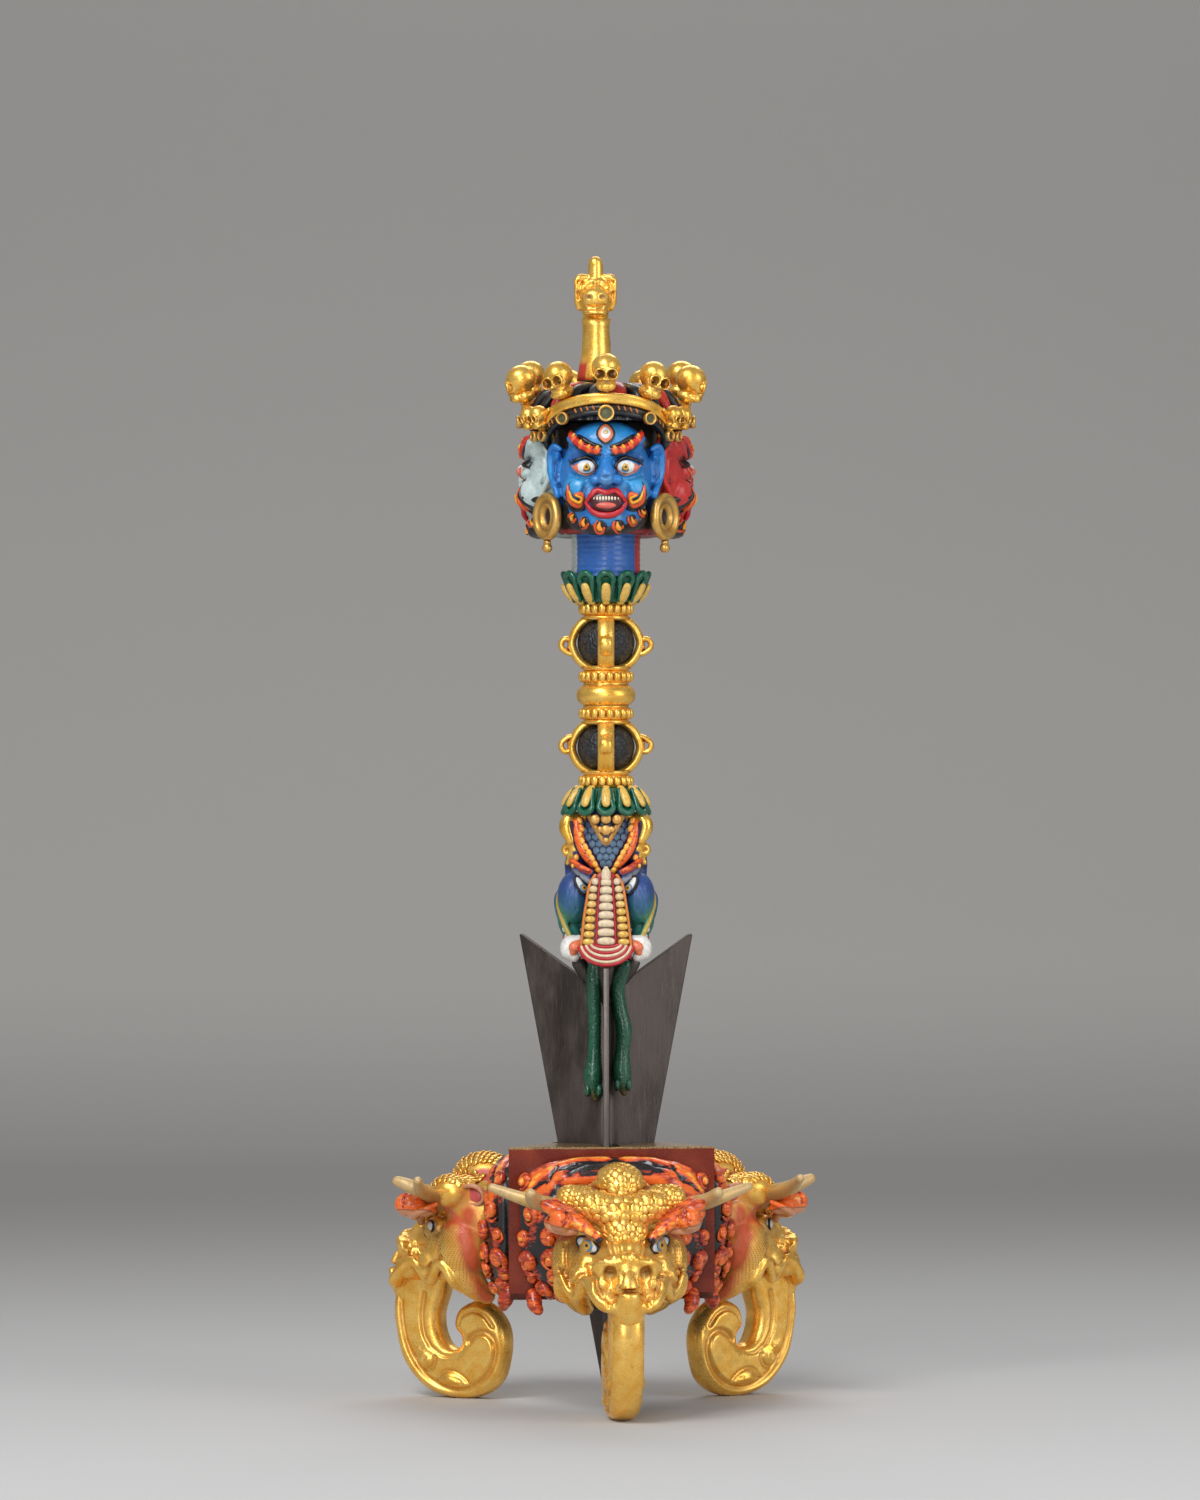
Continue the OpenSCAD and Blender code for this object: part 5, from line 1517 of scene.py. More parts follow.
def make_faces():
    clay = sculpted_face()
    extras = new_piece()
    for side in (-1, 1):
        face_eye(extras, clay, side)
        face_flames(extras, clay, side)
    face_mouth(extras, clay)
    third_eye(extras, clay)
    face_beard(extras, clay)
    features = as_mesh(extras, "features")
    # Each face's paint, then the colours of its painted highlight and its painted shade.
    skins = {
        "front": ("blue", paint(30, 124, 204), paint(70, 186, 236), paint(14, 56, 128)),
        "right": ("red", paint(206, 48, 44), paint(228, 78, 66), paint(136, 20, 24)),
        "left": ("white", paint(196, 214, 212), paint(222, 234, 230), paint(130, 150, 152)),
    }
    for side, (name, *colours) in skins.items():
        face_paint_and_painted_light(clay, *colours)
        bm = clay.onto(new_piece())
        bm.from_mesh(features)
        node = "face_" + side
        finished(bm, node + "_painted", "dagger", PAINT, node, DAGGER_TURN + SIDES[side])


# Dagger: crown, hair and earrings

CROWN_LOW_R, CROWN_HIGH_R, CROWN_DIP = 16.3, 20.8, 9
BAND_T, BAND_H = 2.2, 2.8
BAND_Z = top_of("crown_band") - BAND_H


def crown_at(bearing):
    """Radius and height of the crown's line; it is highest over the faces."""
    gap = abs((bearing + 420) % 120 - 60)
    share = max(math.cos(math.radians(1.5 * gap)), 0) ** 0.6
    return CROWN_LOW_R + (CROWN_HIGH_R - CROWN_LOW_R) * share, BAND_Z - CROWN_DIP * (1 - share), share


def crown_hoop(bm, section, paint=GOLD):
    """Hoop along the crown's line; section gives rows of radius and height past that line."""
    def place(u, v):
        r, z, share = crown_at(360 * u)
        out, up = section[round(v * (len(section) - 1))]
        return polar(r + out, 2 * math.pi * u, z + up * (1.35 - 0.35 * share if up > 0 else 1))
    return surface(bm, 240, len(section) - 1, place, paint)


def make_crown_band():
    bm = new_piece()
    crown_hoop(bm, [
        (0, 0), (BAND_T - 0.5, 0), (BAND_T - 0.1, 0.25), (BAND_T, 0.9), (BAND_T - 0.15, 1.7),
        (BAND_T + 0.1, 2.1), (BAND_T + 0.05, 2.6), (BAND_T - 0.5, BAND_H), (0.4, BAND_H), (0, BAND_H - 0.4),
        (0, 0),
    ])
    for corner in (60, 180, -60):
        for side in (-1, 1):
            points = []
            for k in range(7):
                r, z, _ = crown_at(corner + side * (2 + 2.2 * k))
                angle = math.radians(corner + side * (2 + 2.2 * k))
                r += BAND_T + 0.1
                points.append((*polar(r, angle, z + 2.6), 0.85 - 0.04 * k))
            bar(bm, points, 10, 20)
    finished(bm, "crown_band_ridged", "dagger", GILT, "crown_band")


def make_hair_net():
    bm = new_piece()
    black = paint(20, 22, 26)
    crown_hoop(bm, [
        (0, -2.7), (1.2, -2.7), (1.7, -2.3), (1.6, -1.75), (1.3, -1.6), (1.75, -1.3), (1.9, -0.8),
        (1.6, -0.3), (0, -0.3), (0, -2.7),
    ], black)
    step = 4.2
    bezels = ((0, 6.6), (30, 5.4), (-30, 5.4), (54, 5), (-54, 5))
    for face_turn in SIDES.values():
        for k in range(-13, 14):
            bearing = face_turn + k * step
            if any(abs(k * step - spot) < width for spot, width in bezels):
                continue
            r, z, _ = crown_at(bearing)
            _, ahead, _ = crown_at(bearing + 1)
            lean = (ahead - z) * 2
            angle = math.radians(bearing)
            way = Vector((math.cos(angle), math.sin(angle), 0))
            mid = Vector(polar(r + 1.75, angle, z - 0.95))
            a, b = mid - way * 0.18 + UP * 0.42, mid + way * 0.22 - UP * 0.42 + UP * lean * 0.1
            bar(bm, [(*a, 0.2), (*mid, 0.27), (*b, 0.2)], 6, 7, (0, 0, 1), 1, paint(206, 118, 40))
    finished(bm, "hair_net_dashed", "dagger", PAINT, "hair_net")


def make_bezels():
    bm = new_piece()
    for face_turn in SIDES.values():
        for bearing, r in ((0, 2.2), (-30, 1.7), (30, 1.7), (-54, 1.5), (54, 1.5)):
            line_r, line_z, _ = crown_at(bearing)
            made = lathe(bm, [
                (0, 0.62), (0.34 * r, 0.58), (0.58 * r, 0.42), (0.64 * r, 0.5), (0.72 * r, 1.05),
                (0.84 * r, 1.3), (0.97 * r, 1.1), (r, 0.5), (0.9 * r, -0.4), (0, -0.4),
            ], 28)
            stone = paint(88, 96, 58) if bearing in (0, 30, -30) else paint(120, 62, 34)
            tinted(bm, made, lambda co: stone if math.hypot(co.x, co.y) < 0.66 * r else GOLD)
            spot = Matrix.Translation((0, -line_r - BAND_T, line_z - 0.3 - r))
            moved(made, about_z(face_turn + bearing) @ spot @ about("X", 90))
    finished(bm, "bezels_set", "dagger", WORN_GILT, "bezels")


def make_earrings():
    bm = new_piece()
    z = bottom_of("face_front") + 5.8
    hollow, rust = paint(44, 22, 14), paint(98, 92, 60, 0.45)

    def colour_at(co):
        r = math.hypot(co.x, co.y)
        if r < 2.4:
            return hollow
        return rust if 3.3 < r < 4.3 and co.y > -2 else GOLD

    for turn in (60, 180, -60):
        start = len(bm.verts)
        made = lathe(bm, [
            (0, 0.3), (2.3, 0.35), (2.45, 1.5), (2.9, 2), (3.4, 1.75), (3.6, 1.45), (4.2, 1.55), (4.5, 2.1),
            (5.2, 2.5), (5.8, 2.3), (6.2, 1.6), (6.25, 0.8), (5.8, 0.1), (0, 0),
        ], 56)
        tinted(bm, made, colour_at)
        ball(bm, (0, -6.7, 1.2), (1.1, 0.8, 1), None, 3)
        ball(bm, (0, -8.1, 1.2), (1.45, 1.3, 1.35), None, 3)
        place = about_z(turn) @ Matrix.Translation((0, -16.5, z)) @ about("X", 90)
        moved(since(bm, start), place)
    finished(bm, "earrings_ringed", "dagger", WORN_GILT, "earrings")


def sculpted_skull():
    bm = new_piece()
    for centre, radii in (
        ((0, 0.3, 6.3), (3.8, 4.1, 3.7)), ((0, -1.7, 4.7), (3, 2.4, 2.7)),
        ((0, -1.5, 1.6), (2.6, 2.2, 1.35)), ((0, 0.6, 1.8), (2.7, 2.6, 1.9)),
        ((0, -3, 3.2), (1.9, 1.1, 0.9)),
    ):
        ball(bm, centre, radii)
    for side in (-1, 1):
        rim = []
        for k in range(11):
            angle = math.radians(-60 + 300 * k / 10)
            rim.append((
                side * (1.5 + 1.35 * math.cos(angle)), -3.75 + 0.2 * abs(math.cos(angle)),
                4.95 + 1.3 * math.sin(angle), 0.42,
            ))
        bar(bm, rim, 8, 30, (0, 1, 0))
    clay = Clay(bm, 0.22, 3)
    for side in (-1, 1):
        for _ in range(2):
            clay.press([(side * 1.5, -4.2, 4.9), (side * 1.5, -2, 4.9)], 1.35, -1.1, 1)
        clay.carve([(0, -4, 2.9), (1.1, -4, 3.1), (2.2, -3.6, 2.6), (2.8, -2.6, 2.7)], 0.5, -0.6, side)
        for x in (0.25, 0.8, 1.35, 1.9):
            clay.carve([(x, -3.8, 2.4), (x, -3.8, 1.2)], 0.26, -0.25, side)
    clay.press([(0, -4.4, 3.9)], 0.75, -0.6)
    clay.refresh()
    deep = (0.10, 0.018, 0.006, 0.85)
    for side in (-1, 1):
        clay.draw([(side * 1.5, -3.9, 4.9), (side * 1.5, 0, 4.9)], 1.15, deep, 1, 0.35)
        jaw = clay.along(mirrored([(0, -4, 2.9), (1.1, -4, 3.1), (2.2, -3.6, 2.6)], side))
        clay.draw(jaw, 0.42, deep, 0.8, 0.6)
    clay.draw([(0, -4, 3.9)], 0.5, deep, 0.7, 0.6)
    return clay


SMALL_SKULL = 0.62


def make_skulls():
    clay = sculpted_skull()
    large, small = new_piece(), new_piece()
    for face_turn in SIDES.values():
        for bearing in (-30, 0, 30):
            r, z, _ = crown_at(bearing)
            start = len(large.verts)
            clay.onto(large)
            tip = about("X", 10) @ about("Y", 0.45 * bearing)
            spot = Matrix.Translation((0, -r - BAND_T / 2 - 0.4, z + BAND_H + 0.3))
            moved(since(large, start), about_z(face_turn + bearing) @ spot @ tip)
        for bearing in (-6.5, 6.5):
            r, z, _ = crown_at(60)
            start = len(small.verts)
            clay.onto(small)
            spot = Matrix.Translation((0, -r - BAND_T - 2.6, z + 2.9))
            tip = about("X", 14) @ Matrix.Scale(SMALL_SKULL, 4)
            moved(since(small, start), about_z(face_turn + 60 + bearing) @ spot @ tip)
    finished(large, "crown_skulls_carved", "dagger", GILT, "crown_skulls")
    finished(small, "corner_skulls_carved", "dagger", GILT, "corner_skulls")


def make_hair():
    bm = new_piece()
    low, high = box_mm("hair_dome")
    dark, fire = paint(26, 26, 32), paint(196, 48, 34)

    def place(u, v):
        r, _, _ = crown_at(360 * u)
        angle = 2 * math.pi * u
        grow = math.cos(math.pi / 2 * v) ** 0.8 if v < 1 else 0
        r = (r - 0.4) * (0.05 + 0.95 * grow)
        ridge = 0.35 * math.sin(2 * math.pi * u * 45) * (1 - v)
        return polar(r + ridge, angle, low.z + (high.z - 1.6 - low.z) * math.sin(1.57 * v))

    surface(bm, 180, 16, place, dark)
    lathe(bm, [(0, low.z), (16, low.z)], 48, dark)
    for k in range(18):
        bearing = 20 * k + 9
        angle = math.radians(bearing)
        r, _, _ = crown_at(bearing)
        hot = k % 3 == 0
        size = 2.3 if hot else 1.9
        top = high.z - 1.2
        points = [
            (r - 1.5, high.z - 6.5, size * 0.7), (r - 4, high.z - 3.6, size),
            (r - 8, top - 0.9, size * 0.9), (r - 12.4, top, size * 0.4),
        ]
        knots = [(*polar(q, angle + 0.03 * i, z), s) for i, (q, z, s) in enumerate(points)]
        bar(bm, knots, 10, 20, UP, 0.8, fire if hot else dark)
    finished(bm, "hair_dome_tufted", "dagger", PAINT, "hair_dome")


# Finial

def sculpted_finial():
    x0, low = -2.75, bottom_of("finial_head")
    bm = new_piece()
    for centre, radii in (
        ((x0, 0.3, low + 5.6), (5, 4.4, 5.6)), ((x0, -3, low + 5), (3.9, 3, 3.1)),
        ((x0, -3.4, low + 1.2), (3.1, 2.4, 1.1)), ((x0, -2.4, low + 2.6), (3.1, 2.6, 1.9)),
    ):
        ball(bm, centre, radii)
    bar(bm, [(x0, 0.2, low - 1, 3.3), (x0, 0.2, low + 3, 3.6)], 20, 10, (0, 1, 0))
    bar(bm, [(x0, 0, low + 9, 1.95), (x0, 0, low + 12, 2), (x0, 0, low + 14.4, 1.9)], 16, 20, (0, 1, 0))
    ball(bm, (x0, 0, low + 14.4), (1.85, 1.85, 1.7))
    for side in (-1, 1):
        ear = [
            (x0 + side * 2.6, -0.6, low + 10.6, 1), (x0 + side * 4.2, -1, low + 10.4, 1.1),
            (x0 + side * 4.9, -1.4, low + 8.8, 0.9), (x0 + side * 4.8, -1.2, low + 6.6, 0.8),
            (x0 + side * 4.7, -0.6, low + 4.4, 0.9), (x0 + side * 4.2, -0.4, low + 2.6, 0.8),
        ]
        bar(bm, ear, 10, 30)
    clay = Clay(bm, 0.27, 4)
    for side in (-1, 1):
        clay.press([(x0 + side * 1.85, -6.4, low + 5.3)], 1.25, -1.2)
        clay.carve([(x0 + side * 1.4, -4, low + 9.8), (x0 + side * 3, -3.6, low + 8.4)], 1, -0.9)
        clay.carve([(x0 + side * 4.4, -2.4, low + 9.4)], 0.7, -0.8)
        clay.carve([(x0 + side * 4.6, -2, low + 6.6), (x0 + side * 4.4, -1.9, low + 5)], 0.6, -0.6)
    clay.press([(x0 - 3.2, -4.6, low + 2.7), (x0, -5.4, low + 2.4), (x0 + 3.2, -4.6, low + 2.9)], 0.7, -0.7)
    clay.refresh()
    deep = (0.16, 0.03, 0.008, 0.8)
    for side in (-1, 1):
        clay.draw([(x0 + side * 1.85, -4.6, low + 5.3)], 1.35, deep, 1, 0.35)
        clay.draw([
            (x0 + side * 3.2, -2.8, low + 9.2), (x0 + side * 1.2, -3.4, low + 9.6),
        ], 1.3, (0.24, 0.08, 0.01, 0.5), 0.8, 0.7)
    clay.draw([
        (x0 - 3, -4.8, low + 2.6), (x0, -5.4, low + 2.4), (x0 + 3, -4.8, low + 2.8),
    ], 0.75, deep, 0.6, 0.6)
    return clay


def make_finial():
    head = sculpted_finial().onto(new_piece())
    finished(head, "finial_head_carved", "dagger", GILT, "finial_head")
    low, high = box_mm("finial_neck")
    bm = new_piece()
    lathe(bm, [
        (0, low.z), (5, low.z), (4.9, low.z + 1.5), (4.4, low.z + 4), (3.9, low.z + 7), (3.6, low.z + 11),
        (3.55, high.z - 2), (3.9, high.z), (0, high.z),
    ], 40)
    bmesh.ops.translate(bm, vec=(-2.6, 0, 0), verts=bm.verts)
    red = paint(196, 62, 40)
    tinted(bm, bm.verts, lambda co: red if co.z < low.z + 5.2 and co.x < -5 else GOLD)
    finished(bm, "finial_neck_flared", "dagger", GILT, "finial_neck")
    bm = new_piece()
    top = bottom_of("finial_head") + 1
    for x in (-4.2, -2.4, -0.6):
        bar(bm, [
            (x, 4.6, low.z + 0.6, 1.2), (x * 0.9 + 0.4, 4.4, low.z + 5, 1.35),
            (x * 0.9 + 0.5, 4.2, low.z + 11, 1.2), (x * 0.8, 3.2, top, 0.9),
        ], 10, 26, UP, 1, paint(24, 30, 44))
    finished(bm, "finial_mane_locks", "dagger", PAINT, "finial_mane")


def make_core():
    """Block behind the faces, in darker copies of their three colours as painted shade between the faces,
    black below where the beards end.
    """
    bm = new_piece()
    low, high = box_mm("head_core")
    h = high.z - low.z
    # Painted shade: the faces' colours, darkened where the block shows between the faces.
    skins = (paint(24, 74, 140), paint(160, 36, 38), paint(160, 174, 174))

    def place(u, v):
        angle = 2 * math.pi * u
        corner = 0.5 - 0.5 * math.cos(3 * angle)
        r = 11.4 + 3.4 * corner ** 1.5
        r *= 1 - 0.10 * (2 * v - 1) ** 6
        return polar(r, angle, low.z + h * v)

    def colour_at(co):
        bearing = math.degrees(math.atan2(co.x, -co.y))
        skin = skins[0] if abs(bearing) < 60 else skins[1] if bearing > 0 else skins[2]
        if co.z < low.z + 0.9:
            return paint(150, 30, 30)
        if co.z > 249.5:
            return BLACK
        return BLACK if co.z < low.z + 6.5 + 1.2 * math.sin(math.radians(12 * bearing)) else skin

    tinted(bm, surface(bm, 120, 40, place), colour_at)
    for z in (low.z, high.z):
        lathe(bm, [(0, z), (10.3, z)], 48, BLACK)
    finished(bm, "head_core_skins", "dagger", PAINT, "head_core")


# Dagger: the makara that the blade comes out of

def mask_lumps():
    bm = new_piece()
    for centre, radii in (
        ((0, 1, 146.5), (9.2, 8.4, 8.2)), ((0, 0.5, 133), (8.4, 8.2, 12)), ((0, 0, 121.5), (7.4, 6.6, 6.2)),
        ((0, -4.6, 147), (6.4, 5, 8.6)),
    ):
        ball(bm, centre, radii)
    lathe(bm, [(0, 156.2), (7.4, 156.2), (7.8, 150), (0, 150)], 40)
    for side in (-1, 1):
        ball(bm, (side * 8.4, -4.4, 132.6), (4.5, 5.6, 7))
        rim = [
            (9.4, -3.2, 137.6, 0.6), (12.6, -3, 133.6, 0.7), (12.9, -3.2, 130.8, 0.75),
            (11.9, -3.8, 127, 0.8), (10.2, -4.8, 123.4, 0.8), (8.6, -6, 119.4, 0.7),
        ]
        bar(bm, mirrored(rim, side), 10, 34)
        ball(bm, (side * 9.6, -2.4, 128), (3.2, 1.8, 6))
        bar(bm, mirrored([
            (9.6, -5.2, 137, 0.9), (12.4, -5, 132.6, 0.8), (11.2, -6, 127, 0.9), (8.8, -7.4, 121.6, 0.8),
        ], side), 10, 30)
        ball(bm, (side * 9, -4, 123), (2.4, 2.4, 3.6))
        bar(bm, mirrored([
            (7, -3.4, 154, 1.2), (9.4, -4.2, 153.2, 2), (10.3, -4.6, 151, 2.1), (9.2, -5.4, 147.6, 1.3),
        ], side), 12, 24)
        for x, z, r in ((10.2, 145.2, 1.9), (10, 141.9, 0.9)):
            ball(bm, (side * x, -4, z), (r * 0.85, r * 0.7, r))
        ball(bm, (side * 8.6, -2, 146), (2, 4, 5))
        bar(bm, mirrored([(8.9, -5.8, 142.2, 1), (6.6, -8, 140.4, 1.2), (4, -9, 139.4, 1)], side))
        bar(bm, mirrored([(8.2, -6.2, 140.4, 0.9), (5.8, -8.4, 138, 1), (3.6, -9.2, 136.6, 0.9)], side))
        for k in range(5):
            angle = math.radians(52 + 25 * k)
            size = 1.7 - 0.1 * (k % 2)
            lock = []
            for wide, deep, z, share in (
                (8.6, 7.6, 151, 1), (9.3, 8.6, 143, 1.1), (8.8, 8.2, 134, 1), (7.6, 7.2, 126, 0.8),
            ):
                lock.append((side * wide * math.sin(angle), 1 - deep * math.cos(angle), z, size * share))
            bar(bm, lock, 10, 26)
    return bm


def sculpted_mask():
    clay = Clay(mask_lumps(), 0.34, 5)
    deep, blue, green = paint(34, 40, 92), paint(46, 76, 138), paint(52, 122, 112)
    clay.paint[:] = blue
    clay.shade(lambda x, y, z: (135.5 - z) / 9, green)
    clay.shade(lambda x, y, z: z - 139.5, deep)
    for side in (-1, 1):
        clay.carve([(10.2, -4.6, 145.2)], 0.8, -0.9, side)
        for x in (4.6, 5.8, 7, 8.2):
            clay.carve([(x - 0.9, -9, 138.4), (x + 0.6, -8, 140.6)], 0.4, -0.3, side)
        for k in range(3):
            mark = [(7.6 + k, -9.4, 136.5 - k), (8.2 + k, -9.4, 133 - k), (7.8 + k * 0.6, -9, 129.8 - k)]
            clay.carve(mark, 0.55, -0.22, side)
        for points, width, colour, strength, edge in (
            ([(8.4, -8.4, 134.5), (9.2, -8, 131)], 3, paint(62, 98, 168), 0.6, 1),
            ([
                (12.9, -5, 133.2), (12.4, -5.4, 130), (11.6, -6.2, 126.4), (9.4, -7.6, 121.6),
            ], 1.2, paint(214, 180, 70, 0.5), 0.9, 0.5),
            ([(11.2, -6.6, 131.5), (10.4, -7.6, 127), (8.6, -8.4, 123)], 1.6, paint(84, 150, 84), 0.7, 0.9),
            ([(7, -3.4, 154), (9.6, -4.6, 153), (10.4, -5, 151), (9.3, -6, 147.4)], 2.9, GOLD, 1, 0.25),
            ([(10.2, -4.4, 145.2), (10, -4.4, 141.9)], 2.1, GOLD, 1, 0.3),
            ([(10.2, -5.2, 145.2)], 0.7, (0.08, 0.03, 0.01, 0.8), 1, 0.4),
            ([(8.9, -6.6, 142.4), (6.6, -9, 140.6), (4.4, -9.8, 139.6)], 1, paint(206, 74, 44), 1, 0.4),
            ([(8.2, -7, 140), (5.8, -9.2, 137.8), (3.8, -10, 136.4)], 1.1, paint(150, 150, 156), 0.85, 0.7),
            ([(8.6, -6.6, 139.4), (5.8, -9.4, 137)], 0.4, BLACK, 0.8, 0.6),
        ):
            clay.draw(mirrored(points, side), width, colour, strength, edge)
        for k in range(5):
            angle = math.radians(64.5 + 25 * k)
            x, y = side * 9 * math.sin(angle), 1 - 8.4 * math.cos(angle)
            clay.draw([(x, y, z) for z in (152, 140, 126)], 0.8, BLACK, 0.9, 0.6)
        clay.draw(mirrored([(4, 8, 151), (3.6, 8.6, 140)], side), 1.4, ORANGE, 0.7, 0.8)
    clay.shade(lambda x, y, z: (118.5 - z) / 1.5, paint(52, 36, 32))
    clay.refresh()
    return clay


def make_mask():
    clay = sculpted_mask()
    bm = new_piece()
    light, line = paint(118, 150, 178), paint(22, 32, 74)

    def between(share, xs, zs):
        stops = [0, 0.4, 1]
        return np.interp(share, stops, xs), np.interp(share, stops, zs)

    rows = [
        (139.8, 0.9, 1), (141.6, 1.5, 2), (143.3, 2.3, 3), (145, 3.3, 4), (146.7, 4.4, 5), (148.4, 5.4, 6),
        (150.1, 6.4, 7), (151.8, 7.2, 8),
    ]
    for z, half, count in rows:
        for k in range(count):
            x = (k - (count - 1) / 2) * 2 * half / count
            share = (152 - z) / 12
            spot, normal = front_spot(clay, x, z)
            turn = standing(normal, (1, 0, 0)) @ about("X", 16)
            wide = max(1.12 * half / count, 0.85)
            made = plate(bm, spot + normal * 0.22, turn @ about_z(180), wide, 1.3)
            base = blend(light, line, 0.75 - share)
            rim_z = spot.z + 1.15
            tinted(bm, made, lambda co: blend(line, base, (rim_z - co.z) / 0.8))
    fire = new_piece()
    for side in (-1, 1):
        spine = [
            (7.9, 152.6, 0.9), (7.4, 150.4, 1.35), (6.4, 147.2, 1.5), (5, 144.4, 1.45), (3.3, 142, 1.2),
            (2, 140.2, 0.8),
        ]
        strand(fire, clay, spine, 0.35, 12, 44, heat(0.72), side)
        band = [(8.9, 142.4, 0.5), (6.6, 140.8, 0.7), (4.4, 139.8, 0.5)]
        strand(fire, clay, band, 0.3, 10, 24, heat(0.62), side)
        edge = [
            (9.1, 152.4, 0.5), (8.7, 149.8, 0.55), (7.8, 146.4, 0.55), (6.2, 143.2, 0.55),
            (4.2, 140.6, 0.5), (2.6, 139.2, 0.4),
        ]
        strand(bm, clay, edge, 0.05, 8, 40, paint(24, 26, 66), side)
        for k in range(9):
            t = k / 8
            x, z = between(t, [7, 5.2, 1.7], [152.4, 147.2, 140.6])
            spot, normal = front_spot(clay, side * x, z, 1.15)
            turn = standing(normal, (1, 0, 0)) @ about_z(-side * 30)
            ball(fire, spot, (0.72, 1.05, 0.6), turn, 3, heat(1.15))
        for k in range(6):
            t = (k + 0.5) / 6
            x, z = between(t, [8.2, 6.4, 2.6], [151.2, 146, 140.2])
            a, _ = front_spot(clay, side * x, z, 1.35)
            b, _ = front_spot(clay, side * (x - 0.9), z + 0.5, 1.6)
            bar(bm, [(*a, 0.17), (*b, 0.1)], 6, 6, UP, 1, paint(60, 14, 16))
        add_eye(bm, clay, side, (5, -10, 134), (7.7, -9, 138.4), 1.15, 0.3, 0.9)
        for x, z, r in ((7.8, 143, 0.9), (8.4, 141.2, 0.6)):
            spot, _ = front_spot(clay, side * x, z, 0.3)
            ball(fire, spot, (r * 0.8, r * 0.7, r), None, 3, heat(1.15))
        for x, z in ((10.7, 124.6), (10.1, 122.7)):
            ball(bm, (side * x, -6, z), (0.75, 0.6, 0.95), None, 2, paint(226, 226, 222))
        ball(bm, (side * 10.4, -5.2, 122), (0.9, 1, 1.2), None, 2, paint(206, 60, 40))
    whole = clay.onto(new_piece())
    whole.from_mesh(as_mesh(bm, "mask details"))
    finished(fire, "dagger_makara_head_fire", "dagger", FLAMES)
    finished(whole, "dagger_makara_head_scaled", "dagger", MASK, "dagger_makara_head")


def make_pendant():
    """Three rows of round jewels on a triangle that hangs from the lotus."""
    bm = new_piece()
    bronze, pale = paint(150, 88, 36, 0.5), paint(206, 150, 92, 0.35)
    out = 10.2
    spots = [
        (-2.8, 153.2, 1.35), (0, 153.4, 1.45), (2.8, 153.2, 1.35), (-1.5, 150.6, 0.9), (0, 150.4, 1.45),
        (1.5, 150.6, 0.9), (0, 147.8, 0.8),
    ]
    for x, z, r in spots:
        made = lathe(bm, [
            (0, 0.75), (0.72 * r, 0.7), (0.95 * r, 0.35), (r, -0.2), (r, -2.4), (0, -2.4),
        ], 20)
        tinted(bm, made, lambda co: pale if math.hypot(co.x, co.y) < 0.8 * r else bronze)
        moved(made, Matrix.Translation((x, -out + 0.12 * abs(x), z)) @ about("X", 90))
    edge = arch([(0, -9.6, 147, 0.8), (2.2, -9.2, 150.4, 0.9), (4.2, -8.6, 154, 0.8)])
    bar(bm, edge, 10, 30, (0, 1, 0), 1, bronze)
    finished(bm, "jewel_pendant_set", "dagger", WORN_GILT, "jewel_pendant")


PALATE_Z, PALATE_H = 117, 22.4


def make_trunk():
    """Raised trunk seen from its underside: ribbed palate, rows of teeth and a flaring lip."""
    bm = new_piece()
    cream, gum, rail = paint(232, 210, 176), paint(190, 28, 40), paint(228, 132, 46)
    gold_tooth = paint(226, 182, 92, 0.7)

    def spine(z):
        """Depth of the palate's middle and half its width at a height."""
        t = (z - 116) / 23.5
        return -(15.1 - 3.4 * t ** 1.6), np.interp(
            t, [0, 0.1, 0.5, 0.85, 0.95, 1], [6.7, 6.6, 5.6, 4.3, 3.2, 1.6],
        )

    def slab(u, v):
        z = PALATE_Z + PALATE_H * v
        y, half = spine(z)
        side = 2 * u - 1
        return half * side, y + 0.9 + 0.5 * side * side, z

    def back(u, v):
        z = PALATE_Z + PALATE_H * v
        y, half = spine(z)
        angle = math.pi * u
        return half * math.cos(angle), y + 1.3 + 5 * math.sin(angle), z

    surface(bm, 20, 40, slab, gum)
    surface(bm, 20, 40, back, paint(40, 66, 96))
    for side in (-1, 1):
        knots = []
        for z in np.linspace(119.6, 138.6, 12):
            y, half = spine(z)
            knots.append((side * half, y + 1.1, z, 0.5))
        bar(bm, knots, 8, 40, (0, 1, 0), 1, rail)
        inner = []
        for z in np.linspace(120.2, 138, 10):
            y, half = spine(z)
            inner.append((side * (0.36 * half + 0.25), y + 0.62, z, 0.28))
        bar(bm, inner, 6, 30, (0, 1, 0), 1, paint(206, 30, 44))
        for k in range(9):
            z = 121.4 + 1.95 * k
            y, half = spine(z)
            x = side * (0.72 * half + 0.08)
            shade = blend(gold_tooth, cream, (k - 4) / 4)
            ball(bm, (x, y + 0.5, z), (0.25 * half, 0.8, 1), None, 3, shade)
    for k in range(8):
        z = 121.6 + 2.32 * k - 0.02 * k * k
        y, half = spine(z)
        made = ball(bm, (0, y + 0.72, z), (0.37 * half, 0.95, 1.16), None, 3, cream)
        for vert in made:
            local = vert.co - Vector((0, y + 0.72, z))
            square = max(abs(local.x) / (0.36 * half), 1e-6)
            vert.co.x *= min(1.22, 1 / max(square, 0.75))
            vert.co.z -= 0.30 * (vert.co.x / half) ** 2 * 4
    y, _ = spine(139)
    bar(bm, [
        (0, y + 0.4, 138, 1.3), (0, y + 0.6, 139.6, 1.2), (0, y + 0.9, 140.4, 0.7),
    ], 12, 14, (0, 1, 0), 0.8, cream)
    for k in range(7):
        arc = []
        for j in range(13):
            angle = math.radians(12 + 156 * j / 12)
            low = (0.9 + 0.78 * k) * math.sin(angle)
            arc.append((
                -(3.4 + 0.62 * k) * math.cos(angle), spine(118)[0] + 0.7 - 0.12 * low, 121 - low, 0.5,
            ))
        bar(bm, arc, 8, 36, (0, 1, 0), 1, gum if k % 2 == 0 else cream)
    finished(bm, "dagger_trunk_ribbed", "dagger", MASK, "dagger_trunk")


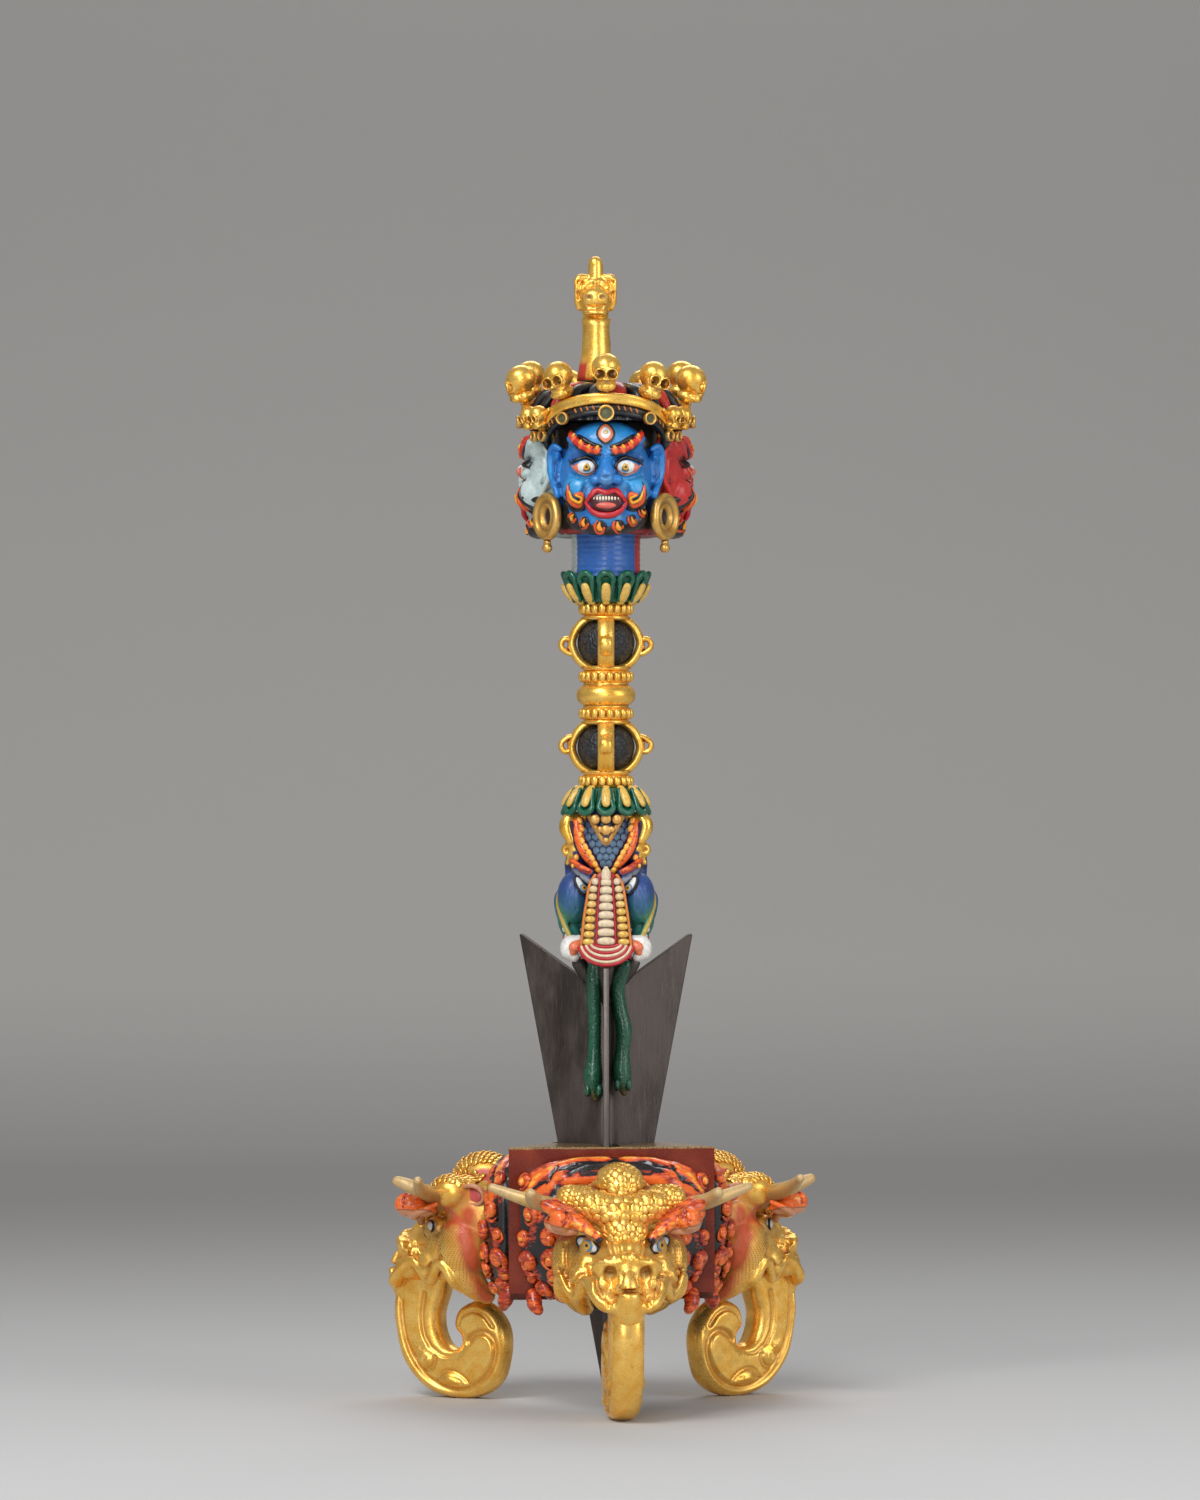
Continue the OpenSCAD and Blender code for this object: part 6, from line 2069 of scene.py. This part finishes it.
def make_tusks():
    bm = new_piece()
    ivory, salmon = paint(232, 230, 224), paint(232, 124, 84)
    for side in (-1, 1):
        shell = [
            (7.2, -10.6, 121.8, 1.4), (9.2, -10.4, 120.8, 2.3), (9.6, -10.8, 118.9, 2.3),
            (8.4, -11.2, 117.6, 1.5),
        ]
        bar(bm, mirrored(shell, side), 14, 26, (0, 1, 0), 1, ivory)
        wedge = [(6.8, -11.8, 121, 1.1), (8.2, -12.2, 119.9, 1.7), (8.6, -12.2, 118.9, 1.2)]
        bar(bm, mirrored(wedge, side), 12, 18, (0, 1, 0), 1, salmon)
    finished(bm, "dagger_tusks_curled", "dagger", PAINT, "dagger_tusks")


# Stand: manes

def node_lumps(node):
    """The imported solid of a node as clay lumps, in millimetres about the axis."""
    bm = new_piece()
    bm.from_mesh(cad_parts[node].data)
    moved(bm.verts, Matrix.Translation((0, -AXIS_Y, 0)) @ Matrix.Scale(1 / MM, 4))
    return bm


def mane_curl(bm, clay, centre, size, hand, lean):
    """Comma of fire on the side of the mane: red tail, orange turn and yellow core."""
    spot, normal = clay.facing(centre)
    turn = standing(normal, (0, 0, 1))
    knots = []
    for k in range(12):
        angle = math.radians(lean + hand * (200 - 33 * k))
        r = size * (1.3 - 0.1 * k)
        flat = spot + turn @ Vector((r * math.cos(angle), r * math.sin(angle), 0))
        at, way = clay.facing(flat)
        knots.append((*(at + way * 0.5), size * (0.14 + 0.50 * min(k / 6, 1))))
    made = bar(bm, knots, 10, 44, normal)
    core = Vector(knots[-1][:3])
    tinted(bm, made, lambda co: heat(1.02 - 0.40 * min((co - core).length / size, 1.2)))
    ball(bm, core + normal * 0.3, (size * 0.62, size * 0.56, size * 0.45), turn, 3, heat(1))


def make_manes():
    clay = Clay(node_lumps("mane_front"), 0.5, 8, heat(0))
    bm = new_piece()
    lip = arch([(0, -20.6, 65), (14, -20, 64.4), (21.4, -19.5, 60.5), (23.6, -19, 50), (22.8, -19, 36)])
    rim = clay.along(lip, 60)
    clay.press(rim, 1.6, 0.5)
    clay.refresh()
    clay.draw(rim[10:50], 1.3, heat(0.42), 1, 0.3)
    for side in (-1, 1):
        locks = [
            ([(2.6, -24, 64), (7.5, -22.5, 63.4), (13.4, -22, 62)], 0.95),
            ([(4.4, -25, 61), (9.2, -24, 60.6), (13.6, -23.5, 59.6)], 0.7),
            ([(15.6, -22, 61.8), (18.8, -21, 60), (20.8, -20, 57)], 0.9),
            ([(15.4, -23.6, 58), (18.4, -22.5, 56.4), (20, -21.8, 53.6)], 0.7),
            ([(14, -25, 55.4), (17, -24, 53.4), (18.6, -23, 50.6)], 0.55),
            ([(19.4, -22.6, 49), (20.8, -21, 44), (21.2, -21, 36)], 0.24),
        ]
        for lock, hot in locks:
            path = clay.along(mirrored(lock, side), 20)
            clay.press(path, 2.2, 0.7)
            clay.draw(path, 2.7, heat(hot + 0.12), 0.95, 0.7)
        for stop in (
            [(14, -23, 64.6), (15.2, -22, 57.5)], [(3, -25, 62.3), (12.6, -23, 61)],
            [(15.6, -23, 59.6), (21.4, -20, 56.2)], [(21.8, -20, 54), (16.6, -23, 51.6)],
        ):
            groove = clay.along(mirrored(stop, side), 14)
            clay.press(groove, 0.8, -0.5)
            clay.draw(groove, 0.7, heat(0), 0.95, 0.5)
        for patch in (
            [(20.6, -22, 47.6), (21.4, -21.5, 42.6)], [(20.6, -22, 35.4), (21, -21, 32)],
            [(16.6, -28, 42.6), (16.8, -28, 37.8)],
        ):
            clay.draw(clay.along(mirrored(patch, side), 10), 2.6, heat(0.4), 0.9, 0.8)
        for centre, size, hand, lean in (
            ((17.4, -29.5, 45.4), 2.5, 1, 0), ((17.8, -28, 39.8), 2, -1, 20),
            ((17.2, -28.2, 35.2), 1.9, 1, 40), ((21.2, -22.6, 51.2), 2.2, 1, 30),
            ((22.2, -21, 38.6), 2.5, -1, 0), ((20.4, -21.4, 29.6), 2.4, 1, 60),
            ((22.6, -19.6, 59.4), 1.7, 1, 0), ((22.8, -19.4, 45.2), 1.8, 1, 80),
            ((15.2, -26.4, 29.4), 1.7, -1, 0), ((22.6, -19.4, 33.6), 1.7, -1, 50),
        ):
            mane_curl(bm, clay, mirrored([centre], side)[0], size, hand * side, lean * side)
        bar(bm, mirrored([
            (20.6, -18.4, 30, 2), (20.4, -19.6, 27.8, 2), (19.6, -20.4, 26.4, 1.4),
        ], side), 12, 18, UP, 1, heat(0.55))
    extras = as_mesh(bm, "curls")
    for side, turn in SIDES.items():
        whole = clay.onto(new_piece())
        whole.from_mesh(extras)
        finished(whole, "mane_" + side + "_curls", "stand", FLAMES, "mane_" + side, turn)


def make_plain_nodes():
    for node, material in (
        ("stand_top_plate", PLATE_TOP), ("stand_bottom_plate", PLATE_LOW), ("panel_front", LACQUER),
        ("panel_right", LACQUER), ("panel_left", LACQUER),
    ):
        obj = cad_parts[node]
        obj.data.materials.clear()
        obj.data.materials.append(material)


make_plain_nodes()
make_blade()
make_snakes()
for ring in ("upper", "over_knob", "under_knob", "lower"):
    make_bead_ring("bead_ring_" + ring)
make_knob()
for end, way in (("upper", 1), ("lower", -1)):
    make_cage("cage_" + end, way)
    make_globe("globe_" + end)
    make_lotus("lotus_" + end, way)
make_neck()
make_legs()
make_horns()
make_ears()
make_heads()
make_brows()
make_faces()
make_core()
make_mask()
make_pendant()
make_trunk()
make_tusks()
make_manes()
make_crown_band()
make_hair_net()
make_bezels()
make_earrings()
make_skulls()
make_hair()
make_finial()


# Studio

def aim(obj, target):
    obj.rotation_mode = "QUATERNION"
    obj.rotation_quaternion = (Vector(target) - obj.location).to_track_quat("-Z", "Y")


def make_camera():
    """At the photograph's bearing, level, with the whole object in the frame."""
    bearing, distance, eye_z = math.radians(PHOTO_BEARING), 1.75, 0.1713
    to_right = Vector((math.cos(bearing), math.sin(bearing), 0))
    data = bpy.data.cameras.new("camera")
    data.sensor_width = 36
    data.lens = 160.3
    data.clip_end = 20
    camera = in_scene("camera", data)
    aside = to_right * -0.00157
    axis = Vector((0, AXIS_Y * MM, eye_z))
    camera.location = axis + aside + Vector((math.sin(bearing), -math.cos(bearing), 0)) * distance
    aim(camera, axis + aside)
    bpy.context.scene.camera = camera


def make_lamp(name, place, size, power):
    data = bpy.data.lights.new(name, "AREA")
    data.shape = "RECTANGLE"
    data.size, data.size_y = size
    data.energy = power
    lamp = in_scene(name, data)
    lamp.location = place
    aim(lamp, (0, 0, 0.15))


def make_floor():
    """A sheet of paper that runs back and sweeps up behind the object."""
    bm = new_piece()

    def place(u, v):
        across = (u - 0.5) * 8
        run = v * 5.2 - 3
        bend = max(run - 1, 0)
        return across, run - bend * 0.75, 0.42 * bend ** 1.7

    surface(bm, 4, 48, place, BLACK)
    bm.normal_update()
    bm.faces.ensure_lookup_table()
    if bm.faces[0].normal.z < 0:
        bmesh.ops.reverse_faces(bm, faces=bm.faces)
    mesh = bpy.data.meshes.new("paper")
    bm.to_mesh(mesh)
    bm.free()
    mesh.materials.append(paper())
    floor = in_scene("paper", mesh)


def make_light():
    world = bpy.data.worlds.new("studio")
    world.use_nodes = True
    world.node_tree.nodes["Background"].inputs["Color"].default_value = (0.62, 0.62, 0.63, 1)
    world.node_tree.nodes["Background"].inputs["Strength"].default_value = 0.45
    bpy.context.scene.world = world
    make_lamp("key", (-0.8, -1.1, 1.6), (0.8, 0.8), 23)
    make_lamp("fill", (1.2, -1.1, 0.7), (0.8, 1.2), 9)
    make_lamp("front", (-0.35, -1.5, 0.55), (0.35, 0.9), 7)
    make_lamp("back", (0.2, 1.2, 1.3), (1.2, 0.6), 8)
    bpy.context.scene.view_settings.view_transform = "Standard"


make_camera()
make_floor()
make_light()
